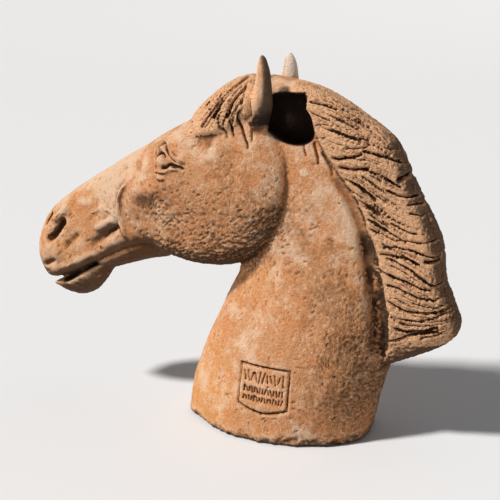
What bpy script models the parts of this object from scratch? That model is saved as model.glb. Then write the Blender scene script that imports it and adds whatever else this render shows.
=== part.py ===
# Terracotta bust of a horse: head and neck in one moulded piece, cut flat below the neck.
# The horse looks along -X, its left side faces -Y, +Z is up, and the origin is on the flat
# underside, below the middle of the neck.

import math

import bmesh
import bpy
import numpy as np

# Driving size, in metres: from the flat underside to the tips of the ears
SCULPTURE_HEIGHT = 0.460

# The proportions below are laid out in millimetres on a figure of this height
STUDY_HEIGHT = 460.0
UNIT = SCULPTURE_HEIGHT / STUDY_HEIGHT

# Sizes that the modeller sets apart from the pose, in metres
EAR_WALL = 0.006
FOOT_ROUNDING = 0.006

# How fine the moulded skin is, and how many triangles the finished solid keeps
SKIN_GRAIN = 1.8 * UNIT
SOLID_TRIANGLES = 9800

TERRACOTTA = {"colour": (0.604, 0.296, 0.147, 1.0), "roughness": 0.88, "metallic": 0.0}

# Each ring of a form is cut by a plane through its upper and its lower point, given as x and z,
# and has four half widths across it, at these shares of the way down from the upper point.
WIDTH_SHARES = (0.06, 0.33, 0.67, 0.94)
RING_POINTS = 44
RINGS_PER_SPAN = 4

# The skull with the upper lip, from inside the neck to the tip of the nose:
# upper point, lower point, half widths at the crown, the brow, the cheek and the jaw
SKULL = (
    ((16, 345), (16, 300), (10, 30, 30, 10)),
    ((12, 372), (14, 266), (18, 44, 46, 20)),
    ((4, 390), (4, 242), (24, 50, 55, 32)),
    ((-12, 408), (-14, 225), (30, 54, 60, 42)),
    ((-35, 417), (-42, 209), (33, 57, 62, 49)),
    ((-62, 412), (-75, 202), (36, 60, 62, 49)),
    ((-92, 396), (-110, 202), (38, 61, 58, 46)),
    ((-119, 380), (-144, 208), (40, 62, 53, 40)),
    ((-147, 366), (-170, 219), (39, 56, 46, 35)),
    ((-173, 350), (-194, 215), (33, 46, 41, 33)),
    ((-201, 335), (-218, 206), (27, 38, 37, 31)),
    ((-231, 318), (-240, 195), (23, 32, 34, 29)),
    ((-263, 299), (-262, 183), (20, 29, 33, 28)),
    ((-292, 280), (-284, 173), (20, 29, 33, 27)),
    ((-316, 262), (-303, 167), (18, 30, 33, 25)),
    ((-332, 244), (-316, 161), (15, 28, 30, 22)),
    ((-344, 221), (-329, 160), (10, 21, 22, 15)),
    ((-350, 201), (-340, 170), (4, 9, 10, 6)),
)

# The lower jaw and the chin, from inside the cheek to the lip
LOWER_JAW = (
    ((-60, 250), (-60, 226), (16, 24, 22, 11)),
    ((-100, 250), (-110, 207), (24, 30, 25, 12)),
    ((-150, 245), (-164, 200), (24, 28, 21, 9)),
    ((-190, 226), (-198, 191), (21, 24, 17, 8)),
    ((-220, 208), (-222, 184), (19, 22, 16, 8)),
    ((-240, 199), (-240, 176), (19, 22, 17, 9)),
    ((-254, 193), (-252, 160), (21, 24, 19, 10)),
    ((-268, 186), (-264, 146), (23, 25, 19, 10)),
    ((-281, 176), (-279, 139), (23, 24, 18, 10)),
    ((-294, 167), (-294, 138), (20, 22, 16, 9)),
    ((-307, 160), (-308, 141), (16, 18, 14, 8)),
    ((-319, 155), (-320, 146), (11, 12, 10, 6)),
    ((-328, 151), (-329, 148), (4, 5, 5, 3)),
)

# What fills the mouth behind the parted lips
MOUTH_FILLING = (
    ((-225, 215), (-232, 196), (8, 10, 10, 8)),
    ((-262, 200), (-262, 172), (12, 14, 14, 12)),
    ((-292, 186), (-290, 150), (13, 15, 15, 12)),
    ((-309, 180), (-308, 148), (10, 12, 12, 8)),
    ((-314, 176), (-313, 152), (4, 5, 5, 3)),
)

# The neck above its foot: throat point, crest point, half widths from throat to crest
NECK = (
    ((-117, 50), (125, 46), (36, 77, 80, 44)),
    ((-100, 100), (138, 92), (32, 71, 73, 40)),
    ((-77, 150), (146, 135), (29, 63, 65, 38)),
    ((-60, 190), (148, 180), (27, 57, 59, 36)),
    ((-50, 225), (146, 225), (25, 52, 53, 34)),
    ((-42, 262), (138, 268), (24, 47, 48, 31)),
    ((-38, 300), (122, 310), (22, 44, 44, 28)),
    ((-36, 335), (98, 350), (22, 41, 40, 26)),
    ((-36, 368), (66, 385), (22, 37, 35, 22)),
    ((-36, 395), (36, 408), (20, 32, 28, 17)),
    ((-32, 412), (10, 424), (14, 22, 20, 12)),
)
FOOT = ((-124, 0), (118, 0), (37, 79, 82, 48))

# The mane, from between the ears down the crest: outer edge, root, half widths edge to root
MANE = (
    ((-20, 436), (-12, 412), (12, 20, 22, 18)),
    ((12, 431), (14, 410), (17, 26, 30, 30)),
    ((42, 423), (40, 395), (22, 34, 39, 38)),
    ((71, 409), (50, 364), (27, 37, 41, 40)),
    ((102, 389), (66, 338), (29, 39, 42, 41)),
    ((131, 367), (83, 316), (29, 39, 42, 41)),
    ((147, 341), (96, 297), (29, 39, 42, 41)),
    ((164, 308), (107, 272), (29, 39, 42, 41)),
    ((183, 274), (115, 244), (29, 39, 42, 41)),
    ((196, 240), (122, 214), (29, 39, 42, 41)),
    ((200, 204), (129, 183), (29, 39, 42, 41)),
    ((210, 176), (133, 155), (28, 38, 41, 40)),
    ((219, 155), (134, 128), (25, 35, 38, 38)),
    ((216, 140), (131, 104), (18, 28, 32, 32)),
    ((203, 126), (126, 92), (9, 16, 20, 20)),
)

# The forelock, from between the ears down the forehead: outer point, inner point, half widths
FORELOCK = (
    ((-24, 432), (-14, 400), (12, 22, 24, 14)),
    ((-40, 437), (-22, 392), (18, 34, 40, 34)),
    ((-57, 433), (-34, 378), (24, 43, 49, 37)),
    ((-75, 422), (-48, 366), (27, 46, 55, 41)),
    ((-93, 408), (-66, 360), (27, 47, 57, 43)),
    ((-107, 395), (-84, 357), (22, 42, 53, 43)),
    ((-118, 382), (-100, 355), (14, 30, 39, 36)),
    ((-124, 374), (-113, 355), (5, 12, 18, 20)),
)

# One ear, from inside the skull to the tip: centre x, y and z, half width along x and along y,
# and half the angle of its opening
EAR = (
    ((-22, 34, 366), 11, 11, 14),
    ((-22, 38, 378), 13, 13, 36),
    ((-21, 41, 388), 15, 15, 62),
    ((-19, 43, 398), 16.5, 15, 58),
    ((-17, 45, 410), 15.5, 14, 46),
    ((-14.5, 46, 424), 12.5, 12, 38),
    ((-13, 47, 438), 10, 10, 36),
    ((-13.5, 47, 449), 8, 7.5, 42),
    ((-14, 47, 456), 5.5, 5, 50),
    ((-14, 47, 460), 2.5, 2.5, 50),
)
EAR_OPENING_TURN = 160
FAR_EAR_SET_BACK = 4
EAR_ARC_POINTS = 15

# The hollow behind each ear: its edge in x and z, and how wide it is at each distance from the
# middle plane, in study millimetres
HOLLOW_EDGE = (
    (-12, 414), (10, 417), (32, 417), (36, 412), (37, 404), (38, 396), (41, 387), (44, 377), (46, 368),
    (40, 361), (31, 358), (20, 358), (10, 361), (0, 366), (-8, 372), (-15, 378), (-15, 390), (-13, 402),
)
HOLLOW_WALLS = ((75, 1.03), (30, 0.99), (15, 0.92), (11, 0.8))

# Cuts between the strands of hair: half width, depth and path from root to tip in x and z
MANE_CUTS = (
    (2.1, 4, ((39, 409), (47, 408), (55, 406), (65, 403), (73, 400))),
    (2.1, 4, ((65, 378), (77, 375), (86, 372), (103, 369), (111, 368))),
    (2.1, 4, ((83, 358), (91, 358), (101, 359), (107, 360), (113, 364))),
    (2.2, 4.5, ((103, 356), (121, 352), (130, 350), (137, 347), (150, 339))),
    (3, 6.9, ((68, 348), (75, 346), (84, 347), (99, 350), (104, 353))),
    (2.1, 4, ((89, 347), (99, 346), (109, 345))),
    (3.3, 7.5, ((77, 337), (85, 336), (92, 335), (104, 335), (114, 337))),
    (2.1, 4, ((111, 333), (122, 331), (129, 328), (143, 319), (151, 316))),
    (2.7, 5.2, ((83, 323), (98, 318), (105, 314), (111, 309), (124, 298))),
    (2.1, 4, ((100, 300), (107, 297), (114, 293), (121, 289))),
    (2.7, 4.8, ((132, 312), (139, 310), (147, 307), (163, 305), (172, 305))),
    (4.8, 7.5, ((144, 322), (152, 328), (159, 330))),
    (2.2, 4.2, ((110, 278), (117, 276), (124, 272), (131, 268), (137, 266))),
    (3, 4, ((114, 267), (121, 265), (128, 263))),
    (2.1, 4, ((138, 276), (146, 272), (154, 268), (162, 265), (171, 264))),
    (2.1, 4, ((128, 245), (146, 248), (164, 245), (181, 239), (197, 235))),
    (2.7, 5.5, ((125, 238), (142, 238), (151, 236), (159, 235), (174, 228))),
    (2.2, 4.5, ((134, 236), (150, 229), (165, 221), (186, 206), (201, 206))),
    (3.6, 6.2, ((178, 233), (185, 232), (195, 232))),
    (2.4, 4.8, ((122, 220), (140, 215), (157, 209), (173, 202), (190, 201))),
    (2.2, 4.2, ((135, 204), (150, 200), (167, 192), (184, 188), (202, 192))),
    (2.8, 5.5, ((136, 184), (150, 178), (165, 172), (193, 173), (212, 178))),
    (2.1, 4, ((149, 163), (164, 162), (182, 163), (191, 166), (210, 174))),
    (2.5, 4.8, ((144, 153), (159, 148), (176, 148), (184, 151), (202, 157))),
    (2.7, 4.8, ((136, 132), (154, 137), (170, 144), (178, 146), (202, 151))),
    (3, 4, ((137, 170), (142, 166), (146, 162))),
    (2.4, 4, ((156, 297), (164, 297), (172, 295))),
    (2.1, 4, ((159, 287), (167, 286), (174, 283))),
)
NECK_CUTS = (
    (2, 3, ((34, 360), (36, 354), (39, 346))),
    (2, 3.6, ((46, 364), (49, 355), (52, 346), (53, 337))),
    (2, 3, ((56, 352), (62, 343), (68, 333), (70, 324))),
)
FORELOCK_CUTS = (
    (2.2, 6, ((-38, 437), (-52, 422), (-60, 413), (-66, 403), (-72, 387))),
    (2.1, 5.5, ((-67, 412), (-71, 403), (-75, 396), (-84, 381), (-89, 374))),
    (2.4, 6, ((-32, 430), (-38, 422), (-45, 414), (-53, 397), (-54, 388))),
    (1.9, 4.4, ((-25, 438), (-28, 428), (-31, 419), (-36, 410), (-40, 402))),
    (1.9, 5.1, ((-37, 400), (-41, 384), (-37, 376), (-33, 367), (-28, 352))),
    (1.9, 3.6, ((-63, 396), (-65, 387), (-63, 379), (-58, 373))),
    (1.9, 3.6, ((-51, 389), (-50, 381), (-48, 373), (-46, 366))),
    (1.9, 3.6, ((-30, 386), (-27, 378), (-25, 370), (-24, 361))),
)
# How far the cuts of the far side may lie from those of the near side
FAR_SHIFT = 4

# How far from its least distance from the middle a stroke reaches its full height
SIDE_FADE = 6

# Strokes of the modelling tool on each side of the head, as points in x and z, half width,
# height, the share over which both ends fade, and the least distance from the middle
FACE_STROKES = (
    # brow and hollow above the eye
    (((-160, 346), (-148, 362), (-128, 364), (-102, 350)), 8, 3.0, 0.3, 30),
    (((-98, 364), (-84, 366), (-68, 362)), 11, -4.5, 0.3, 20),
    # socket, eyeball, upper lid, lower lid and the fold under it
    (((-150, 340), (-134, 345), (-112, 336)), 10, -3.0, 0.3, 30),
    (((-139, 338), (-135, 336)), 8, 5.0, 0.0, 30),
    (((-149, 338), (-147, 350), (-139, 353), (-130, 346), (-119, 338), (-104, 332)), 3.4, 3.4, 0.12, 30),
    (((-143, 326), (-134, 323), (-122, 328), (-108, 329)), 3.0, 2.6, 0.2, 30),
    (((-144, 317), (-137, 314), (-128, 317)), 4.0, 2.2, 0.2, 30),
    (((-148, 343), (-147, 355), (-140, 360), (-131, 352), (-121, 343), (-104, 337)), 2.4, -3.6, 0.1, 30),
    (((-145, 335), (-144, 343), (-139, 346), (-132, 342), (-126, 336)), 2.0, -3.6, 0.15, 30),
    (((-143, 332), (-136, 328), (-129, 331), (-120, 333), (-104, 327)), 2.2, -4.2, 0.1, 30),
    (((-146, 322), (-139, 319), (-128, 321)), 2.2, -3.0, 0.2, 30),
    # cheek bone and the hollow in front of it
    (((-192, 290), (-165, 294), (-140, 302)), 11, 3.0, 0.3, 20),
    (((-165, 322), (-190, 325), (-215, 312)), 13, -3.5, 0.3, 15),
    # the folds that run to the corner of the mouth and to the nostril
    (((-203, 247), (-218, 238), (-233, 228), (-248, 218), (-264, 208)), 6.0, -3.6, 0.3, 12),
    (((-208, 256), (-228, 246), (-250, 234)), 7.0, 3.5, 0.3, 12),
    (((-266, 232), (-281, 219), (-296, 205)), 5.5, -2.4, 0.3, 12),
    (((-240, 270), (-260, 255)), 8.0, 3.5, 0.3, 12),
    (((-198, 300), (-206, 284), (-207, 262), (-203, 245), (-200, 232)), 3.4, 3.0, 0.2, 15),
    # nostril: the raised wing, the opening below it and the slit in front
    (((-284, 266), (-301, 256), (-314, 242)), 6.0, 5.0, 0.25, 8),
    (((-244, 274), (-262, 271), (-280, 270)), 6.5, 3.0, 0.3, 10),
    (((-292, 248), (-301, 234), (-311, 222), (-326, 213)), 4.8, -10.0, 0.14, 6),
    (((-315, 254), (-322, 244), (-330, 232)), 3.2, -5.5, 0.2, 4),
    # the gap between the parted lips
    (((-247, 190), (-257, 185), (-268, 179), (-280, 172), (-292, 165), (-304, 159)), 3.2, -9.0, 0.2, 2),
    # the upper lip's roll, with the crease above it
    (((-331, 178), (-319, 185), (-306, 190)), 3.0, -4.0, 0.3, 0),
    (((-240, 206), (-262, 198), (-285, 186), (-310, 174), (-324, 170)), 6.0, 3.0, 0.2, 8),
    # the valley in front of the mane, and its rounded outer edge
    (((60, 338), (77, 317), (92, 294), (102, 273), (110, 252), (117, 226)), 5, -4.5, 0.25, 10),
    (((103, 266), (113, 240), (120, 210), (126, 182), (129, 154), (129, 128), (129, 108)), 9, -9, 0.2, 10),
    (((144, 345), (162, 309), (181, 276), (193, 242), (198, 206), (206, 182)), 6, -3.5, 0.2, 14),
)
# Two that fade away from the middle: the hollow between the jaw bones and the forelock's parting
JAW_HOLLOW = (((-45, 212), (-100, 202), (-160, 198)), 20, -10, 0.2, 0, 16)
FORELOCK_PARTING = (((-42, 437), (-75, 422), (-93, 408), (-112, 390)), 12, -4, 0.25, 0, 2.5)


def clear_scene():
    for old in list(bpy.data.objects):
        bpy.data.objects.remove(old)


def curve_through(rows, per_span, closed=False):
    """Rows of numbers along a smooth curve that passes through each given row."""
    rows = np.asarray(rows, float)
    count = len(rows)
    spans = count if closed else count - 1
    if closed:
        padded = np.vstack([rows[-1:], rows, rows[:2]])
    else:
        padded = np.vstack([2 * rows[:1] - rows[1:2], rows, 2 * rows[-1:] - rows[-2:-1]])
    found = []
    for span in range(spans):
        before, here, there, after = padded[span : span + 4]
        for t in np.linspace(0.0, 1.0, per_span, endpoint=False):
            bend = (2 * before - 5 * here + 4 * there - after) * t**2
            bend += (3 * here - before - 3 * there + after) * t**3
            found.append(here + 0.5 * ((there - before) * t + bend))
    if not closed:
        found.append(rows[-1])
    return np.array(found)


def ring_around(upper, lower, half_widths):
    """One closed ring, in study millimetres, through the upper and the lower point."""
    side = list(zip(WIDTH_SHARES, half_widths))
    outline = [(0.0, 0.0), *side, (1.0, 0.0), *[(share, -width) for share, width in reversed(side)]]
    per_span = max(2, RING_POINTS // len(outline))
    outline = curve_through(outline, per_span, closed=True)
    upper, lower = np.array(upper), np.array(lower)
    middle = upper + outline[:, :1] * (lower - upper)
    return np.column_stack([middle[:, 0], outline[:, 1], middle[:, 1]])


def skin_rings(bm, rings):
    """Joins the rings in order and closes the first and the last of them."""
    loops = [[bm.verts.new(point) for point in ring] for ring in rings]
    for first, second in zip(loops, loops[1:]):
        for i in range(len(first)):
            j = (i + 1) % len(first)
            bm.faces.new((first[i], first[j], second[j], second[i]))
    bm.faces.new(list(reversed(loops[0])))
    bm.faces.new(loops[-1])


def add_form(bm, stations):
    """A closed form through the stations of one of the tables above."""
    rows = [(*upper, *lower, *widths) for upper, lower, widths in stations]
    rings = []
    for row in curve_through(rows, RINGS_PER_SPAN):
        rings.append(ring_around(row[0:2], row[2:4], np.maximum(row[4:8], 1.0)) * UNIT)
    skin_rings(bm, rings)


def foot_stations():
    """The neck's lowest rings, drawn in towards the ground to round the edge that it stands on."""
    rounding = FOOT_ROUNDING / UNIT
    (front_x, _), (back_x, _), widths = FOOT
    found = []
    for height in (-rounding, 0.0, 0.25 * rounding, 0.6 * rounding, rounding):
        drop = rounding - max(height, 0.0)
        inset = rounding - math.sqrt(rounding**2 - drop**2)
        narrowed = tuple(width - inset for width in widths)
        found.append(((front_x + inset, height), (back_x - inset, height), narrowed))
    return tuple(found)


def add_ear(bm, side):
    """An upright cupped ear, as rings with an outer and an inner arc, on the side given by its sign."""
    wall = EAR_WALL / UNIT
    set_back = FAR_EAR_SET_BACK if side > 0 else 0
    rows = curve_through([(*centre, *rest) for centre, *rest in EAR], RINGS_PER_SPAN)
    rings = []
    for x, y, z, along, across, opening in rows:
        turns = np.radians(np.linspace(opening, 360 - opening, EAR_ARC_POINTS))
        inner = max(1 - wall / along, 0.25)
        arc = [(math.cos(a), math.sin(a)) for a in turns]
        arc += [(inner * u, inner * v) for u, v in reversed(arc)]
        facing = math.radians(EAR_OPENING_TURN)
        ring = []
        for u, v in arc:
            dx = set_back + along * (u * math.cos(facing) - v * math.sin(facing))
            dy = across * (u * math.sin(facing) + v * math.cos(facing))
            ring.append((x + dx, side * (y + dy), z))
        rings.append(np.array(ring) * UNIT)
    if side < 0:
        rings = [ring[::-1] for ring in rings]
    skin_rings(bm, rings)


def object_of(name, mesh):
    found = bpy.data.objects.new(name, mesh)
    bpy.context.scene.collection.objects.link(found)
    return found


def evaluated(found):
    """The object's mesh with its modifiers applied."""
    graph = bpy.context.evaluated_depsgraph_get()
    graph.update()
    return bpy.data.meshes.new_from_object(found.evaluated_get(graph))


def object_from(name, bm):
    bmesh.ops.recalc_face_normals(bm, faces=bm.faces)
    mesh = bpy.data.meshes.new(name)
    bm.to_mesh(mesh)
    bm.free()
    return object_of(name, mesh)


def hollow_maker():
    """What is taken out behind both ears, down to the wall that stays in the middle."""
    bm = bmesh.new()
    edge = curve_through(HOLLOW_EDGE, 2, closed=True)
    centre = edge.mean(0)
    for side in (-1, 1):
        rings = []
        for y, share in HOLLOW_WALLS:
            x, z = (centre + (edge - centre) * share).T
            rings.append(np.column_stack([x, np.full(len(x), side * y), z]) * UNIT)
        skin_rings(bm, rings)
    return object_from("hollow", bm)


def hollowed(stations, maker):
    """One form with the hollows taken out of it."""
    bm = bmesh.new()
    add_form(bm, stations)
    form = object_from("form", bm)
    cut = form.modifiers.new("hollow out", "BOOLEAN")
    cut.operation = "DIFFERENCE"
    cut.solver = "EXACT"
    cut.object = maker
    mesh = evaluated(form)
    bpy.data.objects.remove(form)
    return mesh


def moulded_skin():
    """All the forms pressed together as one closed skin."""
    maker = hollow_maker()
    bm = bmesh.new()
    for stations in (SKULL, foot_stations() + NECK, MANE):
        bm.from_mesh(hollowed(stations, maker))
    bpy.data.objects.remove(maker)
    for stations in (LOWER_JAW, MOUTH_FILLING, FORELOCK):
        add_form(bm, stations)
    for side in (-1, 1):
        add_ear(bm, side)
    forms = object_from("forms", bm)
    remesh = forms.modifiers.new("press together", "REMESH")
    remesh.mode = "VOXEL"
    remesh.voxel_size = SKIN_GRAIN
    soften = forms.modifiers.new("soften", "SMOOTH")
    soften.factor = 0.5
    soften.iterations = 5
    skin = evaluated(forms)
    bpy.data.objects.remove(forms)
    return skin


class Clay:
    """The skin's points as arrays, with the strokes that a modelling tool makes on them."""

    def __init__(self, mesh):
        self.mesh = mesh
        count = len(mesh.vertices)
        self.points = np.empty(count * 3, np.float32)
        mesh.vertices.foreach_get("co", self.points)
        self.points = self.points.reshape(-1, 3).astype(float)
        self.facing = np.empty(count * 3, np.float32)
        mesh.vertex_normals.foreach_get("vector", self.facing)
        self.facing = self.facing.reshape(-1, 3).astype(float)
        x, y, z = (self.points / UNIT).T
        self.on_ear = (z > 384) & (np.abs(y) > 26) & (x > -37) & (x < 4)

    def settle(self):
        """Writes the points back and takes the facings anew."""
        self.mesh.vertices.foreach_set("co", self.points.astype(np.float32).ravel())
        self.mesh.update()
        self.__init__(self.mesh)

    def stroke(self, path, reach, height, ends=0.25, inner=0.0, middle=None, sides=(-1, 1)):
        """Raises or, where height is negative, cuts a line along the path, given in study x and z,
        on both sides of the head. Reach is its half width, and it fades over the ends' share.
        Inner is the least distance from the middle plane, and middle fades it out from there."""
        path = curve_through(path, 6)
        along = np.linspace(0, 1, len(path))
        x, z = self.points[:, 0] / UNIT, self.points[:, 2] / UNIT
        y = np.abs(self.points[:, 1]) / UNIT
        side = np.where(self.points[:, 1] < 0, -1, 1)
        margin = 2.5 * reach
        low, high = path.min(0) - margin, path.max(0) + margin
        near = (x > low[0]) & (x < high[0]) & (z > low[1]) & (z < high[1])
        near &= (y >= inner) & np.isin(side, sides) & ~self.on_ear
        index = np.nonzero(near)[0]
        if not len(index):
            return
        spot = np.column_stack([x[index], z[index]])
        best = np.full(len(index), 1e9)
        where = np.zeros(len(index))
        for i in range(len(path) - 1):
            span = path[i + 1] - path[i]
            share = np.clip((spot - path[i]) @ span / max(span @ span, 1e-9), 0, 1)
            gap = np.linalg.norm(spot - path[i] - share[:, None] * span, axis=1)
            closer = gap < best
            best[closer] = gap[closer]
            where[closer] = (along[i] + share * (along[i + 1] - along[i]))[closer]
        fade = np.ones(len(index))
        if ends > 0:
            fade = np.clip(np.minimum(where, 1 - where) / ends, 0, 1)
            fade = fade * fade * (3 - 2 * fade)
        fade *= np.clip((y[index] - inner) / SIDE_FADE, 0, 1) if inner else 1
        push = height * fade * np.exp(-((best / reach) ** 2))
        if middle is not None:
            push *= np.exp(-((y[index] / middle) ** 2))
        self.points[index] += self.facing[index] * (push * UNIT)[:, None]


def carve_hair(clay):
    """The cuts between the strands, not quite the same on the two sides."""
    chance = np.random.default_rng(11)
    for width, depth, path in MANE_CUTS + NECK_CUTS + FORELOCK_CUTS:
        for side in (-1, 1):
            shift = chance.uniform(-1, 1, 2) * (FAR_SHIFT if side > 0 else 0)
            clay.stroke(np.array(path, float) + shift, width, -depth, 0.12, 1, sides=(side,))


def model_face(clay):
    """Brow, eye, cheek bone, nostril and the hollows."""
    for stroke in (*FACE_STROKES, JAW_HOLLOW, FORELOCK_PARTING):
        clay.stroke(*stroke)


def cut_flat(bm):
    """Cuts the foot off flat at the origin's height and closes it."""
    geometry = bm.verts[:] + bm.edges[:] + bm.faces[:]
    cut = bmesh.ops.bisect_plane(
        bm, geom=geometry, dist=1e-6, plane_co=(0, 0, 0), plane_no=(0, 0, 1), clear_inner=True
    )
    rim = [item for item in cut["geom_cut"] if isinstance(item, bmesh.types.BMEdge)]
    bmesh.ops.contextual_create(bm, geom=rim)
    bmesh.ops.triangulate(bm, faces=bm.faces)


def thinned(mesh):
    """The same form with the number of triangles that the solid is to have."""
    source = object_of("full skin", mesh)
    triangles = sum(len(face.vertices) - 2 for face in mesh.polygons)
    decimate = source.modifiers.new("thin out", "DECIMATE")
    decimate.ratio = SOLID_TRIANGLES / triangles
    found = evaluated(source)
    bpy.data.objects.remove(source)
    return found


def terracotta():
    found = bpy.data.materials.new("terracotta")
    found.use_nodes = True
    shader = found.node_tree.nodes["Principled BSDF"]
    shader.inputs["Base Color"].default_value = TERRACOTTA["colour"]
    shader.inputs["Roughness"].default_value = TERRACOTTA["roughness"]
    shader.inputs["Metallic"].default_value = TERRACOTTA["metallic"]
    found.diffuse_color = TERRACOTTA["colour"]
    return found


def horse_head():
    clay = Clay(moulded_skin())
    model_face(clay)
    clay.settle()
    carve_hair(clay)
    clay.settle()
    mesh = thinned(clay.mesh)
    bm = bmesh.new()
    bm.from_mesh(mesh)
    cut_flat(bm)
    bm.to_mesh(mesh)
    bm.free()
    mesh.name = "horse_head"
    mesh.materials.clear()
    mesh.materials.append(terracotta())
    mesh.shade_smooth()
    mesh.set_sharp_from_angle(angle=math.radians(50))
    return object_of("horse_head", mesh)


clear_scene()
horse_head()
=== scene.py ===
import math

import bmesh
import bpy
import numpy as np
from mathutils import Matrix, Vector


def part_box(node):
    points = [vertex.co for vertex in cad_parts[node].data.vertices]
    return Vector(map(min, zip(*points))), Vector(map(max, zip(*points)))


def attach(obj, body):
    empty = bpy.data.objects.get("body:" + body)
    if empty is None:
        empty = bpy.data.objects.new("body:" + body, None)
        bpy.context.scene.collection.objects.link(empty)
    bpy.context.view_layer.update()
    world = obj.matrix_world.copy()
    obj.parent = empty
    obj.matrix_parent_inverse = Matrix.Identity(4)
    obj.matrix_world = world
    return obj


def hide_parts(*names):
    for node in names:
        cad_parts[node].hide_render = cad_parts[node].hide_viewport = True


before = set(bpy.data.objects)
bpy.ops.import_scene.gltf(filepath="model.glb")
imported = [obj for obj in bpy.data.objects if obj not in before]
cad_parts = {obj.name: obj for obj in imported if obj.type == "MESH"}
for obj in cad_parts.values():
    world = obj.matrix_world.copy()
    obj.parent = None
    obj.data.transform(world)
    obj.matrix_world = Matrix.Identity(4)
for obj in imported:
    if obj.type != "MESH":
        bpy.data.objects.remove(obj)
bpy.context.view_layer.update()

bustLow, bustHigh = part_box("horse_head")
figureHeight = 459.5                                   # the tables below are in mm on a figure this tall
unit = (bustHigh[2] - bustLow[2]) / figureHeight
print(f"frame: bust {1000 * (bustHigh[2] - bustLow[2]):.0f} mm tall")


# Small helpers
def put(tree, kind, settings=None, **sockets):
    # adds a node, sets its properties, then fills or links its inputs: i0, i1 ... go by place
    node = tree.nodes.new(kind)
    for name, value in (settings or {}).items():
        setattr(node, name, value)
    for name, value in sockets.items():
        place = int(name[1:]) if name[0] == "i" and name[1:].isdigit() else name.replace("_", " ")
        if isinstance(value, bpy.types.NodeSocket):
            tree.links.new(value, node.inputs[place])
        else:
            node.inputs[place].default_value = value
    return node


def addObject(name, mesh):
    found = bpy.data.objects.new(name, mesh)
    bpy.context.scene.collection.objects.link(found)
    return found


def bakedMesh(found):
    # the object's mesh with its modifiers applied, after which the object is gone
    graph = bpy.context.evaluated_depsgraph_get()
    graph.update()
    mesh = bpy.data.meshes.new_from_object(found.evaluated_get(graph))
    bpy.data.objects.remove(found)
    return mesh


def pointsOf(mesh):
    flat = np.empty(len(mesh.vertices) * 3, np.float32)
    mesh.vertices.foreach_get("co", flat)
    return flat.reshape(-1, 3).astype(float)


def normalsOf(mesh):
    flat = np.empty(len(mesh.vertices) * 3, np.float32)
    mesh.vertex_normals.foreach_get("vector", flat)
    return flat.reshape(-1, 3).astype(float)


def movePoints(mesh, points):
    mesh.vertices.foreach_set("co", points.astype(np.float32).ravel())
    mesh.update()


def setValues(mesh, name, values):
    found = mesh.attributes.get(name) or mesh.attributes.new(name, "FLOAT", "POINT")
    found.data.foreach_set("value", values.astype(np.float32))


def smoothStep(low, high, value):
    share = np.clip((value - low) / (high - low), 0, 1)
    return share * share * (3 - 2 * share)


# Forms: each ring is cut through an upper and a lower point, given as x and z, and has four
# half widths across it at these shares of the way down
modelling = {
    "widthShares": (0.06, 0.33, 0.67, 0.94),
    "ringPoints": 44,
    "ringsPerSpan": 4,
    "grain": 1.15,                                     # how finely the clay is pressed together
    "softening": 11,
    "earWall": 6.0,
    "footRounding": 6.0,
}

# The skull with the upper lip: upper point, lower point, half widths from the crown to the jaw
skullForm = (
    ((16, 345), (16, 300), (10, 30, 30, 10)),
    ((12, 372), (14, 266), (18, 44, 46, 20)),
    ((4, 390), (4, 242), (24, 50, 55, 32)),
    ((-12, 408), (-14, 225), (30, 54, 60, 42)),
    ((-35, 417), (-42, 209), (33, 57, 62, 49)),
    ((-62, 412), (-75, 202), (36, 60, 62, 49)),
    ((-92, 396), (-110, 202), (38, 61, 58, 46)),
    ((-119, 380), (-144, 208), (40, 62, 53, 40)),
    ((-147, 366), (-170, 219), (39, 56, 46, 35)),
    ((-173, 350), (-194, 215), (33, 46, 41, 33)),
    ((-201, 335), (-218, 206), (27, 38, 37, 31)),
    ((-231, 318), (-240, 195), (23, 32, 34, 29)),
    ((-263, 299), (-262, 183), (20, 29, 33, 28)),
    ((-292, 280), (-284, 173), (20, 29, 33, 27)),
    ((-316, 262), (-303, 167), (18, 30, 33, 25)),
    ((-332, 244), (-316, 161), (15, 28, 30, 22)),
    ((-344, 221), (-329, 160), (10, 21, 22, 15)),
    ((-350, 201), (-340, 170), (4, 9, 10, 6)),
)

# The lower jaw and the chin
jawForm = (
    ((-60, 250), (-60, 226), (16, 24, 22, 11)),
    ((-100, 250), (-110, 207), (24, 30, 25, 12)),
    ((-150, 245), (-164, 200), (24, 28, 21, 9)),
    ((-190, 226), (-198, 191), (21, 24, 17, 8)),
    ((-220, 208), (-222, 184), (19, 22, 16, 8)),
    ((-240, 199), (-240, 176), (19, 22, 17, 9)),
    ((-254, 193), (-252, 160), (21, 24, 19, 10)),
    ((-268, 186), (-264, 146), (23, 25, 19, 10)),
    ((-281, 176), (-279, 139), (23, 24, 18, 10)),
    ((-294, 167), (-294, 138), (20, 22, 16, 9)),
    ((-307, 160), (-308, 141), (16, 18, 14, 8)),
    ((-319, 155), (-320, 146), (11, 12, 10, 6)),
    ((-328, 151), (-329, 148), (4, 5, 5, 3)),
)

# What fills the mouth behind the parted lips
mouthForm = (
    ((-225, 215), (-232, 196), (8, 10, 10, 8)),
    ((-262, 200), (-262, 172), (12, 14, 14, 12)),
    ((-292, 186), (-290, 150), (13, 15, 15, 12)),
    ((-309, 180), (-308, 148), (10, 12, 12, 8)),
    ((-314, 176), (-313, 152), (4, 5, 5, 3)),
)

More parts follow.
